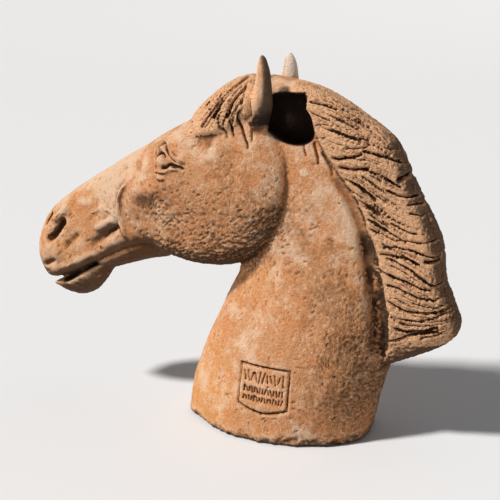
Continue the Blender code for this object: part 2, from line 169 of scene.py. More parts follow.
# The neck above its foot: throat point, crest point, half widths from throat to crest
neckForm = (
    ((-117, 50), (125, 46), (36, 77, 80, 44)),
    ((-100, 100), (138, 92), (32, 71, 73, 40)),
    ((-77, 150), (146, 135), (29, 63, 65, 38)),
    ((-60, 190), (148, 180), (27, 57, 59, 36)),
    ((-50, 225), (146, 225), (25, 52, 53, 34)),
    ((-42, 262), (138, 268), (24, 47, 48, 31)),
    ((-38, 300), (122, 310), (22, 44, 44, 28)),
    ((-36, 335), (98, 350), (22, 41, 40, 26)),
    ((-36, 368), (66, 385), (22, 37, 35, 22)),
    ((-36, 395), (36, 408), (20, 32, 28, 17)),
    ((-32, 412), (10, 424), (14, 22, 20, 12)),
)
footForm = ((-124, 0), (118, 0), (37, 79, 82, 48))

# The mane: outer edge, root, half widths from edge to root
maneForm = (
    ((-20, 436), (-12, 412), (12, 20, 22, 18)),
    ((12, 431), (14, 410), (17, 26, 30, 30)),
    ((42, 423), (40, 395), (22, 34, 39, 38)),
    ((71, 409), (50, 364), (27, 37, 41, 40)),
    ((102, 389), (66, 338), (29, 39, 42, 41)),
    ((131, 367), (83, 316), (29, 39, 42, 41)),
    ((147, 341), (96, 297), (29, 39, 42, 41)),
    ((164, 308), (107, 272), (29, 39, 42, 41)),
    ((183, 274), (115, 244), (29, 39, 42, 41)),
    ((196, 240), (122, 214), (29, 39, 42, 41)),
    ((200, 204), (129, 183), (29, 39, 42, 41)),
    ((210, 176), (133, 155), (28, 38, 41, 40)),
    ((219, 155), (134, 128), (25, 35, 38, 38)),
    ((216, 140), (131, 104), (18, 28, 32, 32)),
    ((203, 126), (126, 92), (9, 16, 20, 20)),
)

# The forelock: outer point, inner point, half widths
forelockForm = (
    ((-24, 432), (-14, 400), (12, 22, 24, 14)),
    ((-40, 437), (-22, 392), (18, 34, 40, 34)),
    ((-57, 433), (-34, 378), (24, 43, 49, 37)),
    ((-75, 422), (-48, 366), (27, 46, 55, 41)),
    ((-93, 408), (-66, 360), (27, 47, 57, 43)),
    ((-107, 395), (-84, 357), (22, 42, 53, 43)),
    ((-118, 382), (-100, 355), (14, 30, 39, 36)),
    ((-124, 374), (-113, 355), (5, 12, 18, 20)),
)

# One ear: centre x, y and z, half width along x and along y, and half the angle of its opening
earForm = {
    "openingTurn": 160, "farSetBack": 4, "arcPoints": 15,
    "rows": (
        ((-22, 34, 366), 11, 11, 14),
        ((-22, 38, 378), 13, 13, 36),
        ((-21, 41, 388), 15, 15, 62),
        ((-19, 43, 398), 16.5, 15, 58),
        ((-17, 45, 410), 15.5, 14, 46),
        ((-14.5, 46, 424), 12.5, 12, 38),
        ((-13, 47, 438), 10, 10, 36),
        ((-13.5, 47, 449), 8, 7.5, 42),
        ((-14, 47, 456), 5.5, 5, 50),
        ((-14, 47, 460), 2.5, 2.5, 50),
    ),
}

# Strands that lead the hair, from root to tip in x and z
maneGuides = (
    ((1, 427), (28, 428), (74, 411), (110, 387), (142, 356)),
    ((38, 411), (64, 406), (92, 389), (126, 365), (152, 336)),
    ((41, 398), (66, 384), (106, 368), (138, 347), (157, 322)),
    ((49, 367), (83, 358), (123, 349), (150, 337), (171, 312)),
    ((79, 336), (103, 330), (123, 318), (149, 304), (181, 294)),
    ((85, 322), (99, 316), (114, 301), (146, 281), (191, 267)),
    ((103, 300), (116, 287), (136, 273), (161, 259), (199, 246)),
    ((114, 268), (132, 254), (155, 243), (177, 234), (200, 230)),
    ((127, 239), (147, 238), (167, 227), (184, 214), (201, 203)),
    ((127, 220), (153, 206), (178, 191), (199, 181), (214, 176)),
    ((139, 185), (157, 169), (190, 166), (214, 168), (218, 167)),
    ((141, 159), (160, 151), (188, 153), (215, 161), (218, 162)),
    ((142, 134), (167, 140), (194, 145), (210, 148), (216, 148)),
)
forelockGuides = (
    ((-50, 436), (-76, 420), (-97, 400), (-111, 383)),
    ((-47, 432), (-69, 418), (-88, 392), (-98, 381)),
    ((-41, 432), (-60, 410), (-76, 383), (-87, 368)),
    ((-36, 430), (-50, 410), (-61, 386), (-62, 373)),
    ((-33, 425), (-42, 401), (-51, 384), (-51, 368)),
    ((-38, 412), (-47, 392), (-48, 374), (-37, 361)),
)

# Cuts between strands: half width, depth and the path in x and z
maneCuts = (
    (1.3, 2.6, ((39, 409), (47, 408), (55, 406), (65, 403), (73, 400))),
    (1.1, 2, ((39, 400), (46, 396), (53, 393), (60, 390), (67, 389))),
    (0.9, 1.4, ((30, 427), (36, 426), (43, 423), (53, 421))),
    (1, 1.8, ((80, 394), (88, 391), (96, 388), (104, 384), (111, 380))),
    (1.3, 2.8, ((65, 378), (77, 375), (86, 372), (94, 369), (103, 369), (111, 368))),
    (1.4, 2.6, ((83, 358), (91, 358), (101, 359), (107, 360), (113, 364))),
    (1.5, 3.6, ((103, 356), (112, 354), (121, 352), (130, 350), (137, 347), (144, 344), (150, 339))),
    (2, 5.5, ((68, 348), (75, 346), (84, 347), (92, 348), (99, 350), (104, 353))),
    (1.3, 2.6, ((89, 347), (99, 346), (109, 345))),
    (2.2, 6, ((77, 337), (85, 336), (92, 335), (104, 335), (114, 337))),
    (1.3, 3, ((111, 333), (122, 331), (129, 328), (136, 323), (143, 319), (151, 316))),
    (1.8, 4.2, ((83, 323), (91, 321), (98, 318), (105, 314), (111, 309), (117, 304), (124, 298))),
    (1, 1.8, ((103, 329), (111, 324), (118, 319), (125, 314), (132, 311))),
    (1.3, 2.6, ((100, 300), (107, 297), (114, 293), (121, 289))),
    (1.2, 2.2, ((104, 294), (111, 292), (119, 289), (127, 285))),
    (1.8, 3.8, ((132, 312), (139, 310), (147, 307), (155, 306), (163, 305), (172, 305))),
    (3.2, 6, ((144, 322), (152, 328), (159, 330))),
    (1, 1.8, ((92, 406), (102, 400), (111, 392), (120, 387), (129, 379), (138, 373), (146, 367))),
    (0.9, 1.6, ((126, 360), (137, 357), (145, 352), (152, 347))),
    (1.5, 3.4, ((110, 278), (117, 276), (124, 272), (131, 268), (137, 266))),
    (2, 3.2, ((114, 267), (121, 265), (128, 263))),
    (1.4, 3.2, ((138, 276), (146, 272), (154, 268), (162, 265), (171, 264))),
    (1.2, 2.6, ((128, 245), (137, 247), (146, 248), (155, 246), (164, 245), (173, 242),
        (181, 239), (190, 237), (197, 235))),
    (1.1, 2.4, ((144, 256), (155, 256), (164, 255), (173, 254), (184, 255), (193, 255))),
    (1.8, 4.4, ((125, 238), (134, 239), (142, 238), (151, 236), (159, 235), (167, 232), (174, 228))),
    (1.5, 3.6, ((134, 236), (142, 233), (150, 229), (158, 225), (165, 221), (172, 216),
        (179, 211), (186, 206), (194, 204), (201, 206))),
    (2.4, 5, ((178, 233), (185, 232), (195, 232))),
    (1.6, 3.8, ((122, 220), (131, 218), (140, 215), (148, 211), (157, 209), (165, 206),
        (173, 202), (182, 199), (190, 201))),
    (1.5, 3.4, ((135, 204), (142, 202), (150, 200), (158, 196), (167, 192), (175, 189),
        (184, 188), (193, 188), (202, 192))),
    (1, 1.8, ((162, 183), (174, 182), (184, 179), (194, 179), (206, 183))),
    (1.9, 4.4, ((136, 184), (143, 182), (150, 178), (157, 174), (165, 172), (174, 172),
        (184, 172), (193, 173), (202, 175), (212, 178))),
    (1.3, 2.6, ((149, 163), (156, 163), (164, 162), (172, 162), (182, 163), (191, 166),
        (200, 170), (210, 174))),
    (1.7, 3.8, ((144, 153), (151, 150), (159, 148), (167, 147), (176, 148), (184, 151),
        (194, 154), (202, 157))),
    (1.8, 3.8, ((136, 132), (146, 135), (154, 137), (162, 141), (170, 144), (178, 146),
        (189, 148), (202, 151))),
    (1.2, 2.4, ((176, 139), (187, 143), (198, 146), (207, 151))),
    (2, 3.2, ((137, 170), (142, 166), (146, 162))),
    (1, 1.6, ((93, 308), (100, 306), (107, 302))),
    (1.6, 3, ((156, 297), (164, 297), (172, 295))),
    (1.4, 2.6, ((159, 287), (167, 286), (174, 283))),
    (0.9, 1.5, ((48, 382), (56, 384), (65, 383))),
    (0.9, 1.6, ((47, 367), (54, 368), (63, 370))),
)
neckCuts = (
    (1.3, 2.4, ((34, 360), (36, 354), (39, 346))),
    (1.6, 3.6, ((46, 364), (49, 355), (52, 346), (53, 337))),
    (1.3, 2.8, ((56, 352), (62, 343), (68, 333), (70, 324))),
)
forelockCuts = (
    (1.1, 2, ((-54, 431), (-59, 426), (-65, 420), (-70, 412))),
    (1.9, 5.2, ((-38, 437), (-45, 430), (-52, 422), (-60, 413), (-66, 403), (-69, 395), (-72, 387))),
    (1.8, 4.8, ((-67, 412), (-71, 403), (-75, 396), (-79, 389), (-84, 381), (-89, 374))),
    (1.1, 2, ((-76, 405), (-82, 397))),
    (1.1, 2, ((-83, 406), (-89, 399))),
    (2.1, 5.2, ((-32, 430), (-38, 422), (-45, 414), (-50, 406), (-53, 397), (-54, 388))),
    (1.5, 3.8, ((-25, 438), (-28, 428), (-31, 419), (-36, 410), (-40, 402))),
    (1.6, 4.4, ((-37, 400), (-41, 393), (-41, 384), (-37, 376), (-33, 367), (-29, 359), (-28, 352))),
    (1, 2.2, ((-63, 396), (-65, 387), (-63, 379), (-58, 373))),
    (1, 2.2, ((-51, 389), (-50, 381), (-48, 373), (-46, 366))),
    (1.2, 3, ((-30, 386), (-27, 378), (-25, 370), (-24, 361))),
    (1, 1.8, ((-60, 377), (-56, 371), (-54, 365))),
)

# The deep hollow behind each ear: its edge in x and z, how wide it is at each distance from the
# middle, and where its painted shade lies: how far past the edge, from which y to which it fades in,
# and down to which y
hollowForm = {
    "outline": (
        (-12, 414), (10, 417), (32, 417), (36, 412), (37, 404), (38, 396), (41, 387), (44, 377), (46, 368),
        (40, 361), (31, 358), (20, 358), (10, 361), (0, 366), (-8, 372), (-15, 378), (-15, 390), (-13, 402),
    ),
    "walls": ((75, 1.03), (30, 0.99), (15, 0.92), (11, 0.8)),
    "paintWiden": 1.06, "paintFrom": 43, "paintFull": 30, "paintLeast": 5,
}

# The line between the parted lips, cut in and painted dark
mouthSlit = ((-247, 190), (-257, 185), (-268, 179), (-280, 172), (-292, 165), (-304, 159))

# Strokes on each side of the head: points in x and z, half width, height, the share over which
# both ends fade, the least distance from the middle and, for some, how wide they fade from it
faceStrokes = {
    "sideFade": 6,
    "broad": (
        # brow and hollow above the eye
        (((-160, 346), (-148, 362), (-128, 364), (-102, 350)), 8, 2.0, 0.3, 30),
        (((-98, 356), (-84, 358), (-68, 355)), 12, -2.5, 0.3, 20),
        # socket, eyeball, upper lid, lower lid and the fold under it
        (((-150, 340), (-134, 345), (-112, 336)), 10, -2.5, 0.3, 30),
        (((-140, 336), (-136, 334)), 6, 4.2, 0.0, 30),
        (((-148, 338), (-146, 346), (-140, 349), (-131, 344), (-120, 336),
            (-105, 330)), 3.0, 3.0, 0.12, 30),
        (((-143, 324), (-134, 322), (-124, 326), (-112, 327)), 2.6, 2.0, 0.2, 30),
        (((-143, 316), (-137, 314), (-130, 316)), 3.2, 1.8, 0.2, 30),
        # cheek bone and the hollow in front of it
        (((-192, 290), (-165, 294), (-140, 302)), 11, 2.4, 0.3, 20),
        (((-165, 322), (-190, 325), (-215, 312)), 13, -3.0, 0.3, 15),
        # the folds that run to the corner of the mouth and to the nostril
        (((-203, 247), (-218, 238), (-233, 228), (-248, 218), (-264, 208)), 6.0, -3.4, 0.3, 12),
        (((-208, 256), (-228, 246), (-250, 234)), 7.0, 3.4, 0.3, 12),
        (((-266, 232), (-281, 219), (-296, 205)), 5.5, -2.4, 0.3, 12),
        (((-226, 268), (-240, 262), (-256, 250)), 5.0, 1.6, 0.3, 12),
        (((-244, 274), (-262, 271), (-280, 270)), 6.0, 2.4, 0.3, 10),
        (((-232, 264), (-246, 256), (-258, 246)), 2.6, -1.4, 0.3, 12),
        (((-196, 303), (-206, 286), (-207, 264), (-203, 246), (-199, 230)), 2.6, 1.3, 0.2, 15),
        # nostril: the raised wing, the opening below it and the slit in front
        (((-286, 264), (-300, 252), (-313, 240)), 5.0, 4.4, 0.25, 8),
        (((-292, 248), (-301, 234), (-311, 222), (-324, 214)), 4.4, -8.5, 0.16, 6),
        (((-315, 254), (-322, 244), (-329, 233)), 2.6, -4.0, 0.25, 4),
        # the gap between the parted lips
        (mouthSlit, 2.8, -11.0, 0.15, 2),
        # the upper lip's roll, with the crease above it
        (((-331, 178), (-319, 185), (-306, 190)), 2.6, -3.0, 0.3, 0),
        (((-240, 206), (-262, 198), (-285, 186), (-310, 174), (-324, 170)), 6.0, 2.6, 0.2, 8),
        # the valley in front of the mane
        (((60, 338), (77, 317), (92, 294), (102, 273), (110, 252), (117, 226)), 5, -4.5, 0.25, 10),
        (((103, 266), (113, 240), (120, 210), (126, 182), (129, 154), (129, 128),
            (129, 108)), 9, -9, 0.2, 10),
        (((144, 345), (162, 309), (181, 276), (193, 242), (198, 206), (206, 182)), 9, -2.5, 0.2, 8),
        # the hollow between the jaw bones and the parting of the forelock
        (((-45, 212), (-100, 202), (-160, 198)), 20, -10, 0.2, 0, 16),
        (((-42, 437), (-75, 422), (-93, 408), (-112, 390)), 12, -4, 0.25, 0, 2.5),
    ),
    "fine": (
        # the fold over the eye, the edges of its lids and the bag below
        (((-145, 339), (-147, 347), (-142, 353), (-138, 355), (-133, 349), (-124, 340),
            (-115, 336)), 1.2, -3.2, 0.1, 30),
        (((-120, 337), (-112, 335), (-103, 332)), 1.3, -3.2, 0.2, 30),
        (((-145, 334), (-144, 340), (-140, 343), (-136, 342), (-131, 338)), 1.2, -3.2, 0.15, 30),
        (((-138, 326), (-130, 328), (-126, 331), (-120, 330), (-114, 329),
            (-104, 326)), 1.4, -4.0, 0.12, 30),
        (((-146, 320), (-139, 319), (-131, 319)), 1.1, -2.4, 0.2, 30),
        (((-145, 312), (-139, 309), (-130, 313)), 1.6, -0.8, 0.25, 30),
        (((-87, 366), (-89, 362), (-91, 357)), 1.4, -1.4, 0.3, 20),
        (((-102, 351), (-96, 354), (-89, 357)), 1.0, -1.2, 0.3, 20),
        # the folds of the muzzle and the slit in front of the nostril
        (((-203, 247), (-211, 242), (-222, 236), (-236, 226)), 2.0, -1.6, 0.3, 12),
        (((-222, 236), (-236, 224), (-250, 214)), 1.8, -0.8, 0.3, 12),
        (((-270, 229), (-281, 219), (-294, 207)), 2.2, -1.0, 0.3, 12),
        (((-282, 216), (-296, 203), (-306, 194)), 1.2, -0.9, 0.3, 12),
        (((-296, 244), (-302, 233), (-311, 223), (-322, 216)), 2.0, -2.4, 0.15, 6),
        (((-317, 251), (-322, 243), (-327, 234)), 1.2, -2.0, 0.2, 4),
        (((-331, 178), (-319, 185), (-308, 190)), 1.2, -2.2, 0.3, 0),
        # the vein on the cheek with its branch
        (((-186, 312), (-198, 298), (-207, 283), (-208, 268), (-208, 253), (-203, 240),
            (-199, 226)), 1.9, 2.5, 0.12, 15),
        (((-208, 254), (-220, 262), (-232, 267)), 1.8, 1.9, 0.2, 15),
        # dents left by the modelling of the cheek
        (((-146, 286), (-136, 282), (-128, 274)), 2.2, -1.0, 0.3, 30),
        (((-128, 271), (-120, 262), (-114, 258)), 2.0, -0.9, 0.3, 30),
        (((-176, 262), (-182, 254), (-184, 246)), 2.0, -0.8, 0.3, 25),
    ),
}

# Chips off the edge of the foot: x, z, half length and depth. On the far side they lie further back.
chips = {
    "farSetBack": 23.0,
    "near": (
        (-100, 3, 6, 2.2), (-84, 2, 4, 1.6), (-62, 4, 5, 1.8), (-44, 2, 3, 1.6), (-22, 4, 6, 2.0),
        (4, 2, 4, 1.8), (27, 5, 5, 2.4), (40, 9, 3, 1.6), (58, 3, 6, 2.2), (84, 3, 4, 1.8),
        (103, 5, 4, 2.0),
    ),
}

# Places where the carving is finer than the grain: lowest x and z, highest x and z, least y
fineSpots = (
    (-154, 306, -98, 366, 35),
    (-334, 205, -286, 262, 6),
    (-36, 30, 40, 102, 60),
)

hair = {
    "seed": 11, "farShift": 4.0, "widen": 0.8, "deepen": 1.5, "cutEnds": 0.12, "mostInner": 9,
    # lines of the comb between the cuts: how many on the mane and the forelock, width and depth
    "combs": ((44, 14, 3.2, 1.8), (130, 46, 1.4, 2.2)),
}

# The tablet pressed into the left side of the neck, in mm in the side view
tablet = {
    "left": -32.0, "right": 32.0, "top": 95.0, "bottom": 47.0, "sag": 8.0, "lean": -1.5, "pivot": (0.0, 70.0),
    "edgeWidth": 2.6, "edgeDepth": 3.0, "margin": 7.0, "strokeWidth": 1.7, "strokeDepth": 2.7,
    "strokeLean": 0.35, "strokeSizes": (0.55, 1.0),
    # height above the ground, height of the strokes and how many
    "rows": ((82.0, 13.0, 11), (66.0, 7.0, 15), (55.5, 6.0, 15)),
}

# The marks of the rasp. Their direction swirls from place to place, their size and depth vary.
tooling = {
    "spacing": 2.7, "length": 4.4, "perSquareMetre": 130000.0, "width": 1.5, "depth": 1.25,
    "lean": (0.75, 0.0, 0.9), "swirl": 5.0, "swirlsPerMetre": 14.0, "sizes": (0.5, 1.3), "depths": (0.3, 1.0),
    "seed": 3, "depthSeed": 7, "everywhere": 0.06,
}
uneven = {
    "Wave size": 52.0, "Wave height": 1.1, "Lump size": 15.0, "Lump height": 0.6, "Crumb size": 4.2,
    "Crumb depth": 1.15,
}

# What the years left, and where shade is painted, as soft patches in the side view: x, z, radius and amount
patina = {
    "tooled": (
        (-142, 224, 16, 0.5), (-116, 214, 18, 0.8), (-88, 210, 20, 1.0), (-60, 212, 22, 1.0),
        (-34, 222, 20, 1.0), (-14, 242, 20, 0.9), (-4, 268, 18, 0.8), (-150, 262, 26, 0.5),
        (-80, 250, 40, 0.35), (120, 150, 60, 0.3),
    ),
    "rough": (
        (-10, 300, 45, 0.5), (100, 60, 80, 0.4), (200, 150, 60, 0.4), (120, 330, 60, 0.3),
        (-290, 150, 25, 0.4), (-140, 222, 14, 0.8), (-112, 212, 14, 1.0), (-85, 207, 15, 1.1),
        (-60, 209, 15, 1.1), (-36, 218, 15, 1.0), (-14, 234, 15, 0.9), (0, 262, 15, 0.7),
        (-80, 280, 35, 0.5), (-70, 240, 35, 0.4), (-300, 240, 20, 0.5), (110, 130, 30, 0.8),
        (100, 170, 30, 0.6), (118, 60, 35, 0.7),
    ),
    "bloom": (
        (-230, 300, 30, 0.5), (-192, 322, 24, 0.6), (-298, 262, 12, 0.6), (-105, 380, 24, 1.0),
        (-80, 345, 16, 0.3), (-205, 262, 14, 0.4), (-150, 260, 26, 0.3), (-54, 150, 13, 0.55),
        (-30, 118, 16, 0.5), (-8, 150, 24, 0.3), (20, 250, 60, 0.35), (-80, 60, 30, 0.35),
        (172, 168, 36, 0.4), (-222, 284, 26, 0.5), (-228, 250, 20, 0.35), (200, 300, 30, 0.5),
        (150, 355, 25, 0.6), (-60, 405, 22, 0.5), (36, 328, 3.0, 2.5), (131, 166, 5, 1.2),
        (126, 150, 4, 0.9), (50, 20, 12, 0.8), (80, 300, 30, 0.35),
    ),
    "grime": (
        (-10, 280, 45, 0.6), (-60, 225, 40, 0.4), (-130, 225, 35, 0.4), (-62, 336, 28, 0.6),
        (-285, 150, 28, 0.8), (90, 200, 50, 0.7), (110, 110, 50, 0.8), (80, 40, 50, 0.6),
        (40, 240, 40, 0.4), (205, 240, 22, 0.3), (190, 290, 22, 0.3), (10, 400, 30, 0.5),
        (165, 325, 20, 0.3),
    ),
    "farBloom": ((-10, 456, 26, 2.0),),
    # how strong the far ear's lime and the near ear's painted shade are, and how much of the painted groove
    # shade the hair takes
    "farBloomAmount": 2.0, "earShadeAmount": 0.85, "hairCarved": 0.7,
    # the near ear's painted shade begins at this x for each z
    "earShade": (
        (380, -30), (386, -25), (394, -18), (401, -13), (410, -10), (420, -8.5), (433, -8.5),
        (448, -10), (458, -13),
    ),
    # where the painted shade in grooves and pits is stronger: eye, nostril, mouth, muzzle, tablet and the
    # valley in front of the mane
    "carved": (
        (-130, 338, 20, 1.0), (-308, 235, 20, 1.0), (-276, 175, 24, 1.0), (0, 70, 36, 1.3),
        (-222, 240, 16, 0.7), (112, 246, 13, 1.0), (122, 212, 13, 1.0), (127, 178, 13, 1.0),
        (129, 145, 13, 1.0), (129, 115, 12, 0.8),
    ),
    "ochre": (
        (-100, 60, 45, 0.9), (-300, 230, 30, 0.5), (-250, 290, 30, 0.5), (-90, 20, 60, 0.6),
        (-40, 200, 40, 0.4),
    ),
}

clayFinish = {
    "triangles": 196000, "sharpAngle": 70.0,
    # the shade, pocket and groove colours are painted shade; the worn and strand colours paint highlights on
    # ridges and hair
    "body": "CC9265", "bodyWarm": "D48D5A", "bodyDeep": "B57C50", "ochre": "DB944D", "paleGrain": "E6C39E",
    "darkGrain": "7E5539", "lime": "ECD3B8", "dirt": "8A6343", "groove": "24150D", "ridgeHighlight": "E8B98E",
    "speck": "F2EBE1", "shade": "3A2310", "pocketShade": "140C08", "strand": "FAC092",
    # in mm: the real sand is finer and would not show
    "sandGrain": 1.5, "pitGrain": 3.2, "speckPitch": 7.0, "scratchPitch": 2.2,
    # how far fine scratches lean, on the skin and in the hair
    "scratchLean": 38.0, "strandLean": 112.0,
    "roughLow": 0.86, "roughHigh": 0.95, "specular": 0.2, "bumpStrength": 1.0, "bumpHeight": 2.0,
}


def curveThrough(rows, perSpan, closed=False):
    # rows of numbers along a smooth curve through each given row
    rows = np.asarray(rows, float)
    spans = len(rows) if closed else len(rows) - 1
    if closed:
        padded = np.vstack([rows[-1:], rows, rows[:2]])
    else:
        padded = np.vstack([2 * rows[:1] - rows[1:2], rows, 2 * rows[-1:] - rows[-2:-1]])
    found = []
    for span in range(spans):
        before, here, there, after = padded[span : span + 4]
        for t in np.linspace(0.0, 1.0, perSpan, endpoint=False):
            bend = (2 * before - 5 * here + 4 * there - after) * t**2
            bend += (3 * here - before - 3 * there + after) * t**3
            found.append(here + 0.5 * ((there - before) * t + bend))
    if not closed:
        found.append(rows[-1])
    return np.array(found)


def ringAround(upper, lower, halfWidths):
    side = list(zip(modelling["widthShares"], halfWidths))
    outline = [(0.0, 0.0), *side, (1.0, 0.0), *[(share, -width) for share, width in reversed(side)]]
    outline = curveThrough(outline, max(2, modelling["ringPoints"] // len(outline)), closed=True)
    middle = np.array(upper) + outline[:, :1] * (np.array(lower) - np.array(upper))
    return np.column_stack([middle[:, 0], outline[:, 1], middle[:, 1]])


def skinRings(bm, rings):
    loops = [[bm.verts.new(point) for point in ring] for ring in rings]
    for first, second in zip(loops, loops[1:]):
        for i in range(len(first)):
            j = (i + 1) % len(first)
            bm.faces.new((first[i], first[j], second[j], second[i]))
    bm.faces.new(list(reversed(loops[0])))
    bm.faces.new(loops[-1])


def addForm(bm, stations):
    rows = [(*upper, *lower, *widths) for upper, lower, widths in stations]
    rings = []
    for row in curveThrough(rows, modelling["ringsPerSpan"]):
        rings.append(ringAround(row[0:2], row[2:4], np.maximum(row[4:8], 1.0)) * unit)
    skinRings(bm, rings)


def footStations():
    # the neck's lowest rings, drawn in towards the ground to round the edge it stands on
    rounding = modelling["footRounding"]
    (frontX, _), (backX, _), widths = footForm
    found = []
    for height in (-rounding, 0.0, 0.25 * rounding, 0.6 * rounding, rounding):
        inset = rounding - math.sqrt(rounding**2 - (rounding - max(height, 0.0)) ** 2)
        narrowed = tuple(width - inset for width in widths)
        found.append(((frontX + inset, height), (backX - inset, height), narrowed))
    return tuple(found)


def addEar(bm, side):
    # an upright cupped ear, as rings with an outer and an inner arc
    setBack = earForm["farSetBack"] if side > 0 else 0
    facing = math.radians(earForm["openingTurn"])
    rings = []
    for x, y, z, along, across, opening in curveThrough(
        [(*centre, *rest) for centre, *rest in earForm["rows"]], modelling["ringsPerSpan"]
    ):
        turns = np.radians(np.linspace(opening, 360 - opening, earForm["arcPoints"]))
        inner = max(1 - modelling["earWall"] / along, 0.25)
        arc = [(math.cos(a), math.sin(a)) for a in turns]
        arc += [(inner * u, inner * v) for u, v in reversed(arc)]
        ring = []
        for u, v in arc:
            dx = setBack + along * (u * math.cos(facing) - v * math.sin(facing))
            dy = across * (u * math.sin(facing) + v * math.cos(facing))
            ring.append((x + dx, side * (y + dy), z))
        rings.append(np.array(ring) * unit)
    if side < 0:
        rings = [ring[::-1] for ring in rings]
    skinRings(bm, rings)


def hollowMaker():
    # what is taken out behind the ears, on each side down to the wall left in the middle
    bm = bmesh.new()
    outline = curveThrough(hollowForm["outline"], 2, closed=True)
    centre = outline.mean(0)
    for side in (-1, 1):
        rings = []
        for y, share in hollowForm["walls"]:
            x, z = (centre + (outline - centre) * share).T
            rings.append(np.column_stack([x, np.full(len(x), side * y), z]) * unit)
        skinRings(bm, rings)
    return objectFrom("hollow", bm)


def objectFrom(name, bm):
    bmesh.ops.recalc_face_normals(bm, faces=bm.faces)
    mesh = bpy.data.meshes.new(name)
    bm.to_mesh(mesh)
    bm.free()
    return addObject(name, mesh)


def hollowed(stations, maker):
    # one form with the hollow taken out of it
    bm = bmesh.new()
    addForm(bm, stations)
    found = objectFrom("form", bm)
    cut = found.modifiers.new("hollow out", "BOOLEAN")
    cut.operation = "DIFFERENCE"
    cut.solver = "EXACT"
    cut.object = maker
    return bakedMesh(found)


def pressedTogether():
    # all the forms as one closed skin
    maker = hollowMaker()
    bm = bmesh.new()
    for stations in (skullForm, footStations() + neckForm, maneForm):
        bm.from_mesh(hollowed(stations, maker))
    bpy.data.objects.remove(maker)
    for stations in (jawForm, mouthForm, forelockForm):
        addForm(bm, stations)
    for side in (-1, 1):
        addEar(bm, side)
    clay = objectFrom("clay", bm)
    press = clay.modifiers.new("press together", "REMESH")
    press.mode = "VOXEL"
    press.voxel_size = modelling["grain"] * unit
    soften = clay.modifiers.new("soften", "SMOOTH")
    soften.factor = 0.5
    soften.iterations = modelling["softening"]
    return bakedMesh(clay)


def refined(mesh, spots):
    # splits the faces of each spot in four, where the carving is finer than the grain:
    # a spot is its lowest and highest x and z and the least distance from the middle
    bm = bmesh.new()
    bm.from_mesh(mesh)
    for lowX, lowZ, highX, highZ, leastY in spots:
        edges = set()
        for face in bm.faces:
            x, y, z = face.calc_center_median() / unit
            if lowX < x < highX and lowZ < z < highZ and abs(y) > leastY:
                edges.update(face.edges)
        bmesh.ops.subdivide_edges(bm, edges=list(edges), cuts=1, use_grid_fill=True)
    bm.to_mesh(mesh)
    bm.free()
    mesh.update()
    return mesh


# Carving: strokes of a modelling tool, each given in the side view as points in x and z
def stroke(clay, path, reach, height, ends=0.25, inner=0.0, middle=None, sides=(-1, 1)):
    # raises or, where height is negative, cuts a line along the path. Reach is its half width,
    # it fades over the ends' share, inner is its least distance from the middle plane, and
    # middle fades it out from that plane. The ears are left as they are.
    path = curveThrough(path, 6)
    along = np.linspace(0, 1, len(path))
    low, high = path.min(0) - 2.5 * reach, path.max(0) + 2.5 * reach
    near = (clay["x"] > low[0]) & (clay["x"] < high[0]) & (clay["z"] > low[1]) & (clay["z"] < high[1])
    near &= (clay["y"] >= inner) & np.isin(clay["side"], sides) & ~clay["onEar"]
    index = np.nonzero(near)[0]
    if not len(index):
        return
    spot = np.column_stack([clay["x"][index], clay["z"][index]])
    best = np.full(len(index), 1e9)
    where = np.zeros(len(index))
    for i in range(len(path) - 1):
        span = path[i + 1] - path[i]
        share = np.clip((spot - path[i]) @ span / max(span @ span, 1e-9), 0, 1)
        gap = np.linalg.norm(spot - path[i] - share[:, None] * span, axis=1)
        closer = gap < best
        best[closer] = gap[closer]
        where[closer] = (along[i] + share * (along[i + 1] - along[i]))[closer]
    fade = np.ones(len(index))
    if ends > 0:
        fade = smoothStep(0, ends, np.minimum(where, 1 - where))
    if inner:
        fade *= np.clip((clay["y"][index] - inner) / faceStrokes["sideFade"], 0, 1)
    push = height * fade * np.exp(-((best / reach) ** 2))
    if middle is not None:
        push *= np.exp(-((clay["y"][index] / middle) ** 2))
    clay["points"][index] += clay["normals"][index] * (push * unit)[:, None]


def takenUp(mesh):
    # the skin's points as arrays, ready for strokes
    points = pointsOf(mesh)
    x, y, z = (points / unit).T
    return {
        "mesh": mesh, "points": points, "normals": normalsOf(mesh),
        "x": x, "y": np.abs(y), "z": z, "side": np.where(y < 0, -1, 1),
        "onEar": (z > 384) & (np.abs(y) > 26) & (x > -37) & (x < 4),
    }


def laidDown(clay):
    movePoints(clay["mesh"], clay["points"])
    return clay["mesh"]


def between(guides, share, jitter):
    # a strand that lies between the guides, at this share of the way from the first to the last
    place = share * (len(guides) - 1)
    low = min(int(place), len(guides) - 2)
    part = place - low
    return (1 - part) * np.array(guides[low], float) + part * np.array(guides[low + 1], float) + jitter


def carveHair(clay):
    # the cuts between the strands. Those of the far side lie a little differently.
    chance = np.random.default_rng(hair["seed"])
    for width, depth, path in maneCuts + neckCuts + forelockCuts:
        for side in (-1, 1):
            shift = chance.uniform(-1, 1, 2) * (hair["farShift"] if side > 0 else 0)
            inner = chance.uniform(0, hair["mostInner"])
            path = np.array(path, float)
            reach, height = width * hair["widen"], -depth * hair["deepen"]
            stroke(clay, path + shift, reach, height, hair["cutEnds"], inner, sides=(side,))


# Node trees that lay lines on the clay and press them into it
def newTree(name, sockets):
    # a geometry tree with named inputs: each is its name, kind and value
    tree = bpy.data.node_groups.new(name, "GeometryNodeTree")
    tree.interface.new_socket("Geometry", in_out="INPUT", socket_type="NodeSocketGeometry")
    for label, kind, value in sockets:
        socket = tree.interface.new_socket(label, in_out="INPUT", socket_type="NodeSocket" + kind)
        if value is not None:
            socket.default_value = value
    tree.interface.new_socket("Geometry", in_out="OUTPUT", socket_type="NodeSocketGeometry")
    return tree, tree.nodes.new("NodeGroupInput").outputs, tree.nodes.new("NodeGroupOutput")


